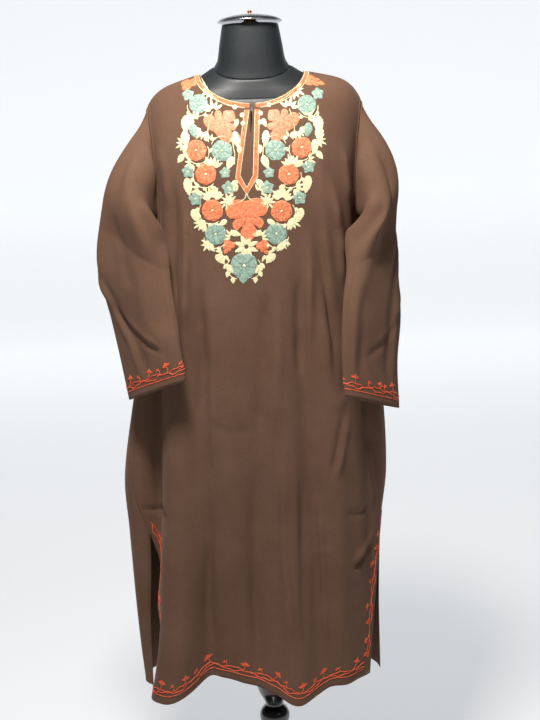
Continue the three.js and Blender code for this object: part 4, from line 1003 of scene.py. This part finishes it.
# Pixel of the middle, width, height and turn
planeLeaves = [
    (223, 123.5, 60, 46, 2.4), (280.5, 122, 60, 46, -2.4), (247.4, 218.3, 70, 66, 0.06),
    (228.3, 247, 20, 23, -0.5), (263.2, 247.4, 20, 23, 0.5),
]
shoulderLeaves = [(190.5, 83.5, 0.3), (314, 80.9, -0.3)]
smallFlowers = [
    (188, 95, 10.5), (318, 93.9, 10.5), (225.4, 172.6, 9.5), (269.4, 172.6, 9.5), (188, 171.6, 11),
    (308.7, 166.9, 11), (228.8, 187.7, 11.5), (267, 187.7, 11.5), (195.8, 198.9, 12), (299.6, 197.8, 12),
]
buds = [(193.9, 130.5, 0.2), (307.7, 129.8, -0.2)]
dots = [(235, 107), (269, 104.5), (242.2, 115), (260.4, 113), (243, 123.5), (260.5, 122)]

def makeFlowers():
    for colour, petals in (("orange", 7), ("teal", 8)):
        for column, row, radius, stems in roundFlowers[colour]:
            x, z = seenAt(column, row)
            turn = 0.2 + 0.01 * x if colour == "orange" else 0.1 + 0.01 * z
            rosette("yoke", colour, frontAt, x, z, radius * 0.97, petals, turn)
            for stem in stems:
                stemRound(*cream, x, z, *stem)
    for column, row, width, height, angle in planeLeaves:
        chinar(*orange, *seenAt(column, row), width, height, angle)
    for column, row, angle in shoulderLeaves:
        x, z = seenAt(column, row)
        outline = turnedBy(mirroredOutline(chinarHalf, 18, 34), math.pi / 2 + angle, x, z)
        fillPatch(*orange, outline, (x, z), 0.1, 0.5)
    for column, row, radius in smallFlowers:
        smallFlower(*teal, *seenAt(column, row), radius)
    for column, row, angle in buds:
        x, z = seenAt(column, row)
        fillPatch(*teal, turnedBy(mirroredOutline(budHalf, 22, 27, 2), angle, x, z), (x, z), 0.1, 0.6)
    column, row, radius, stems = lowFlower
    x, z = seenAt(column, row)
    rosette(*teal, x, z, radius, 7, math.pi / 2)
    leaf(*teal, x - 1.5, z - 15, 16, 15, -math.pi / 2 - 0.08)
    for stem in stems:
        stemRound(*cream, x, z, *stem)
    x, z = seenAt(*starFlower)
    for k in range(8):
        turn = math.pi / 8 + k * math.pi / 4
        leaf(*cream, x + 3 * math.cos(turn), z + 3 * math.sin(turn), 19, 8.5, turn)
    for column, row in dots:
        x, z = seenAt(column, row)
        fillPatch(*cream, circle(4.2, x, z, 12), (x, z), 0.1, 0.5)

# Cream leaves and stems that fill the ground between the flowers, in millimetres
def makeFoliage():
    for x, z, reach, angle, leaves in (
        (-67, 1352, 21, 1.75, 5), (62, 1352, 21, 1.35, 5), (-72, 1256, 23, 1.65, 7), (63, 1254, 23, 1.45, 7),
        (-73, 1203, 24, 1.65, 8), (44, 1199, 24, 1.45, 8), (-45, 1199, 17, 1.9, 5), (19, 1197, 17, 1.2, 5),
        (-96, 1338, 19, 2.5, 5), (90, 1336, 19, 0.7, 5), (-84, 1322, 20, 4.2, 6), (74, 1318, 20, 5.2, 6),
        (-118, 1300, 17, 3.6, 5), (108, 1298, 17, 5.8, 5), (-104, 1268, 17, 3.6, 5), (88, 1268, 17, 5.8, 5),
        (-62, 1222, 18, 3.9, 5), (36, 1220, 18, 5.5, 5), (-34, 1214, 17, 2.4, 5), (6, 1214, 17, 0.8, 5),
        (-92, 1224, 19, 3.5, 5), (66, 1222, 19, 5.9, 5), (-93, 1166, 17, 3.7, 5), (60, 1164, 17, 5.7, 5),
        (-56, 1114, 18, 4.0, 5), (14, 1112, 18, 5.4, 5), (-84, 1130, 15, 3.7, 4), (42, 1128, 15, 5.7, 4),
        (-50, 1200, 15, 4.4, 4), (20, 1198, 15, 5.0, 4), (-42, 1140, 17, 2.2, 5), (5, 1138, 17, 0.9, 5),
        (-70, 1388, 19, 3.6, 5), (72, 1384, 19, 5.8, 5), (-74, 1302, 15, 1.6, 4), (60, 1302, 15, 1.5, 4),
    ):
        spray(*cream, x, z, reach, angle, leaves)
    for x, z, length, width, angle in (
        (-32, 1318, 24, 11, -1.4), (22, 1318, 24, 11, -1.7), (-112, 1348, 26, 15, -1.7),
        (108, 1340, 26, 15, -1.4), (-117, 1322, 24, 13, -1.5), (112, 1322, 24, 13, -1.6),
        (-36, 1276, 20, 11, -2.0), (14, 1276, 20, 11, -1.2), (-116, 1243, 26, 13, -1.45),
        (91, 1240, 26, 13, -1.8), (-108, 1190, 22, 12, -1.2), (78, 1186, 22, 12, -1.95),
        (-97, 1172, 20, 11, -1.1), (64, 1170, 20, 11, -2.1), (-88, 1136, 20, 11, -0.9),
        (48, 1132, 20, 11, -2.3), (-72, 1112, 19, 10, -0.8), (30, 1110, 19, 10, -2.4),
        (-54, 1094, 17, 10, -0.8), (8, 1092, 17, 10, -2.4), (-116, 1300, 22, 11, -1.5),
        (104, 1300, 22, 11, -1.7), (-52, 1206, 18, 10, -0.6), (24, 1204, 18, 10, -2.5),
        (-24, 1294, 13, 8, -1.6), (10, 1294, 13, 8, -1.6), (-26, 1338, 14, 7, -1.9),
        (16, 1338, 14, 7, -1.2), (-46, 1150, 17, 9, -0.3), (9, 1148, 17, 9, -2.9),
        (-120, 1282, 15, 9, -2.2), (105, 1280, 15, 9, -0.9), (-30, 1236, 17, 9, -2.3),
        (2, 1236, 17, 9, -0.8), (-50, 1170, 14, 8, -2.6), (18, 1168, 14, 8, -0.5),
    ):
        leaf(*cream, x, z, length * 1.2, width * 1.02, angle, saw=0.26)
    for path in (
        [(-68, 1352), (-74, 1335), (-78, 1315), (-76, 1300)],
        [(62, 1352), (68, 1334), (70, 1314), (66, 1300)],
        [(-30, 1358), (-44, 1362), (-60, 1370), (-74, 1384)],
        [(28, 1360), (42, 1364), (56, 1370), (70, 1382)],
        [(-34, 1312), (-36, 1296), (-32, 1280), (-34, 1262)],
        [(20, 1312), (18, 1296), (14, 1280), (16, 1262)],
        [(-16, 1214), (-17, 1206), (-26, 1200), (-42, 1196)],
        [(-14, 1214), (-13, 1206), (-4, 1200), (14, 1196)],
    ):
        threadRow(*cream, softenedLine(path), 1.8, 0.7, 0.05)

def softenedLine(path, rounds=3):
    points = np.asarray(path, float)
    for _ in range(rounds):
        before, after = points[:-1], points[1:]
        inner = np.stack([0.75 * before + 0.25 * after, 0.25 * before + 0.75 * after], 1).reshape(-1, 2)
        points = np.vstack([points[:1], inner, points[-1:]])
    return points

# Bands round the neck and down the slit: close rows of stitches between two cords
def neckBand(offset):
    turns = (np.linspace(0, 1, 121) - 0.5) * math.pi
    x = neckHalf * np.sin(turns)
    z = neckZ - neckDrop["front"] * np.abs(np.cos(turns)) ** neckCurve
    slope = np.column_stack([neckHalf * np.cos(turns), neckCurve * neckDrop["front"] * np.sin(turns)])
    slope /= np.linalg.norm(slope, axis=1, keepdims=True)
    return np.column_stack([x + slope[:, 1] * offset, z - slope[:, 0] * offset])

# The slit's border: middle and half width at the top and at the corner, the tip, and the band's width
placket = {
    "topX": 0.4, "topHalf": 12.4, "topZ": 1364.0,
    "endX": -13.9, "endHalf": 19.0, "endZ": 1240.0,
    "tipX": -14.5, "tipZ": 1211.0, "band": 7.6,
}

def placketPath(inset, sign, topZ):
    share = (topZ - placket["endZ"]) / (placket["topZ"] - placket["endZ"])
    half = mix(placket["endHalf"], placket["topHalf"], share) - inset
    top = (mix(placket["endX"], placket["topX"], share) + sign * half, topZ)
    corner = (placket["endX"] + sign * (placket["endHalf"] - inset), placket["endZ"] + 0.45 * inset)
    halfway = ((top[0] + corner[0]) / 2, (top[1] + corner[1]) / 2)
    return [top, halfway, corner, (placket["tipX"], placket["tipZ"] + 1.5 * inset)]

# Eight rows a band: cream cords outside, orange rows between them
def makeBands():
    rows = 8
    for k in range(rows):
        atEdge = k in (0, rows - 1)
        colour = "cream" if atEdge else "orange"
        height = 0.85 if atEdge else 0.7
        band = neckBand(1.4 + 1.05 * k)
        parted = 2.6 + 0.02 * k if k < rows - 1 else 11
        gap = np.abs(band[:, 0]) < parted
        for part in (band[: np.argmax(gap)], band[len(band) - np.argmax(gap[::-1]) :]):
            threadRow("border", colour, frontAt, part, 1.35 if atEdge else 1.2, height)
        for sign in (-1, 1):
            path = placketPath(placket["band"] * k / 7 + 0.4, sign, 1352.5 if k == 0 else 1353.0)
            threadRow("border", colour, frontAt, path, 1.3, height)

makeFlowers()
makeFoliage()
makeBands()
print("yoke and neck stitched")

# A strip of cloth beside an edge, unrolled: distance along the edge and distance in from it
def edgeStrip(strip, axis):
    shape = strip.shape
    normals = vertexNormals(strip.reshape(-1, 3), gridFaces(*shape[:2])).reshape(shape)
    if np.sum(normals * (strip - axis)) < 0:
        normals = -normals
    steps = np.linalg.norm(np.diff(strip[:, 0], axis=0), axis=1)
    along = np.concatenate([[0], np.cumsum(steps)])
    gaps = np.linalg.norm(np.diff(strip, axis=1), axis=2)
    away = np.hstack([np.zeros((shape[0], 1)), np.cumsum(gaps, axis=1)])

    def place(flat):
        placed = np.zeros((len(flat), 3))
        out = np.zeros((len(flat), 3))
        for i, (u, v) in enumerate(flat.tolist()):
            k = min(max(int(np.searchsorted(along, u)) - 1, 0), len(along) - 2)
            s = (u - along[k]) / (along[k + 1] - along[k])
            row = mix(away[k], away[k + 1], s)
            j = min(max(int(np.searchsorted(row, v)) - 1, 0), len(row) - 2)
            t = (v - row[j]) / (row[j + 1] - row[j])
            for store, grid in ((placed, strip), (out, normals)):
                near = mix(grid[k, j], grid[k + 1, j], s)
                store[i] = mix(near, mix(grid[k, j + 1], grid[k + 1, j + 1], s), t)
        return placed, out / np.linalg.norm(out, axis=1, keepdims=True)

    return place, along[-1]

def tuft(place, u, v, reach, angle, petals=5):
    for k in range(petals):
        turn = angle + 2.5 * (k / (petals - 1) - 0.5)
        leaf("vine", "vine", place, u, v, reach * (1.0 if k % 2 == 0 else 0.8), reach * 0.42, turn, lift=0.1)

# A running vine: two winding rows that cross, a straight row under them, and flowers and buds in turn
def makeVine(place, start, end, base, pitch, straight=True, size=1.0, seed=0):
    u = np.arange(start, end, 1.6)
    wave = 2.6 * np.sin(2 * math.pi * u / pitch + seed) + 1.1 * np.sin(5.1 * math.pi * u / pitch + 2 * seed)
    threadRow("vine", "vine", place, np.column_stack([u, base + wave]), 1.9, 0.9)
    second = 2.2 * np.sin(2 * math.pi * u / pitch + seed + 2.3) + 0.8 * np.sin(6.3 * math.pi * u / pitch)
    threadRow("vine", "vine", place, np.column_stack([u, base + 3.6 + second]), 1.6, 0.8, 0.1)
    if straight:
        low = base - 6.5 + 0.7 * np.sin(u / 31 + seed)
        threadRow("vine", "vine", place, np.column_stack([u, low]), 1.5, 0.8)
    count = max(1, round((end - start) / pitch))
    for k in range(count):
        at = mix(start, end, (k + 0.5) / count) + 4 * math.sin(2.7 * k + seed)
        lean = 0.35 * math.sin(1.9 * k + seed)
        rise = size * (11 + 3 * math.sin(3.1 * k + seed))
        tip = (at + rise * lean, base + 3 + rise)
        stalk = softenedLine([(at - 7, base + 2), (at - 1, base + 5), tip])
        threadRow("vine", "vine", place, stalk, 1.6, 0.8, 0.15)
        tuft(place, tip[0], tip[1], size * 9.5, math.pi / 2 - lean, 5)
        bud = at + pitch * 0.5
        if bud < end - 6:
            curl = [(bud - 6, base + 2), (bud + 1, base + 4), (bud + 3, base + 9), (bud - 1, base + 12)]
            threadRow("vine", "vine", place, softenedLine(curl), 1.5, 0.8, 0.15)
            tuft(place, bud - 1, base + 11, size * 6, math.pi / 2 + 0.6, 3)

def makeVines():
    middle = (frontGrid.mean(axis=(0, 1)) + backGrid.mean(axis=(0, 1))) / 2
    hem, hemLength = edgeStrip(frontGrid[:-31:-1].transpose(1, 0, 2), middle)
    makeVine(hem, 20, hemLength - 20, 22, 56, seed=0.6)
    slitStart = len(frontGrid) - panels["front"]["rows"][2] - 7
    for seed, grid in ((1.1, frontGrid), (2.4, frontGrid[:, ::-1])):
        edge, length = edgeStrip(grid[slitStart:, :16], middle)
        makeVine(edge, 14, length - 34, 10, 62, straight=False, size=0.8, seed=seed)
        pocket, length = edgeStrip(grid[slitStart - 50 : slitStart - 30, :16], middle)
        makeVine(pocket, 8, 52, 10, 30, straight=False, size=0.7, seed=seed)
    for side, (points, faces, shape) in sleevesMade.items():
        grid = points.reshape(shape)[::-1][:16]
        ring = np.concatenate([grid, grid[:, :1]], axis=1).transpose(1, 0, 2)
        cuff, length = edgeStrip(ring, ring.mean(axis=(0, 1)))
        makeVine(cuff, 2, length - 2, 19, 46, size=0.85, seed=0.3 if side == "left" else 2.2)

# Turned seams stand up a little where the pieces are sewn together
def makeSeams():
    middle = (frontGrid.mean(axis=(0, 1)) + backGrid.mean(axis=(0, 1))) / 2
    side = panels["front"]["sideColumns"]
    armholeRows = panels["front"]["rows"][0]
    for grid in (frontGrid, frontGrid[:, ::-1]):
        shoulder, length = edgeStrip(grid[:9, : side + 1].transpose(1, 0, 2), middle)
        threadRow("seam", "wool", shoulder, [(2, 3.0), (length - 3, 3.0)], 5.0, 0.9, 0, 900)
        armhole, length = edgeStrip(grid[: armholeRows + 1, :9], middle)
        threadRow("seam", "wool", armhole, [(2, 3.2), (length - 4, 3.2)], 5.0, 1.0, 0, 900)

makeVines()
makeSeams()
print("hem, slits and cuffs stitched")

def makeStitchMeshes():
    replaced = {"yoke": "yoke_embroidery", "border": "neck_border"}
    for (piece, colour), store in sewn.items():
        name = piece + "_" + colour + "_stitches"
        made = addMesh(name, np.vstack(store["points"]), store["faces"], threads[colour])
        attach(made, "root")
        if piece in replaced:
            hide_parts(replaced.pop(piece))
        print(made.name, len(made.data.polygons), "faces")

makeStitchMeshes()

# Camera, floor and light
def makeCamera():
    lens = bpy.data.cameras.new("camera")
    lens.lens = lensLength
    lens.clip_start = 0.01
    camera = bpy.data.objects.new("camera", lens)
    camera.matrix_world = Matrix.Translation(eye * 0.001) @ aim
    bpy.context.scene.collection.objects.link(camera)
    bpy.context.scene.camera = camera

def makeLight(name, place, towards, width, height, watts, colour):
    lamp = bpy.data.lights.new(name, "AREA")
    lamp.shape = "RECTANGLE"
    lamp.size, lamp.size_y = width, height
    lamp.energy = watts
    lamp.color = linearColour(colour)[:3]
    light = bpy.data.objects.new(name, lamp)
    light.location = place
    light.rotation_euler = (Vector(towards) - Vector(place)).to_track_quat("-Z", "Y").to_euler()
    bpy.context.scene.collection.objects.link(light)
    return light

def makeSurroundings():
    paint, tree, shader = makeMaterial("pale_backdrop")
    shader.inputs["Base Color"].default_value = linearColour("#c9cacc")
    shader.inputs["Roughness"].default_value = 0.9
    shader.inputs["Emission Color"].default_value = linearColour("#f4f7fa")
    # Painted light: the backdrop glows, dimmer on the floor in front of and under the form and brighter
    # towards the wall at the back
    place = addNode(tree, "ShaderNodeTexCoord").outputs["Object"]
    depth = addNode(tree, "ShaderNodeSeparateXYZ", Vector=place).outputs["Y"]
    glowFalloff = {"From Min": 0.2, "From Max": 4.5, "To Min": 0.55, "To Max": 0.76}
    glow = addNode(tree, "ShaderNodeMapRange", glowFalloff, Value=depth).outputs[0]
    tree.links.new(glow, shader.inputs["Emission Strength"])
    reach, bendRadius, top, steps = 6500, 900, 5500, 12
    turns = [k / steps * math.pi / 2 for k in range(steps + 1)]
    bend = [(reach - bendRadius * (1 - math.sin(t)), bendRadius * (1 - math.cos(t))) for t in turns]
    profile = [(-reach, 0), *bend, (reach, top)]
    sweep = [(x, y, z) for y, z in profile for x in (-reach, reach)]
    faces = [[2 * k, 2 * k + 1, 2 * k + 3, 2 * k + 2] for k in range(len(profile) - 1)]
    floor = addMesh("floor", sweep, faces, paint)
    world = bpy.data.worlds.new("soft_room")
    world.use_nodes = True
    background = world.node_tree.nodes["Background"]
    background.inputs["Color"].default_value = linearColour("#eef0f4")
    background.inputs["Strength"].default_value = 0.07
    bpy.context.scene.world = world
    lights = [
        makeLight("window", (-0.2, -0.85, 2.42), (0.0, 0, 1.15), 0.32, 0.32, 48, "#fffaf4"),
        makeLight("room", (1.2, -1.9, 2.0), (0, 0, 1.1), 1.0, 1.0, 3, "#fffdf8"),
    ]

makeCamera()
makeSurroundings()
bpy.context.scene.view_settings.view_transform = "Standard"

print("all pieces made")
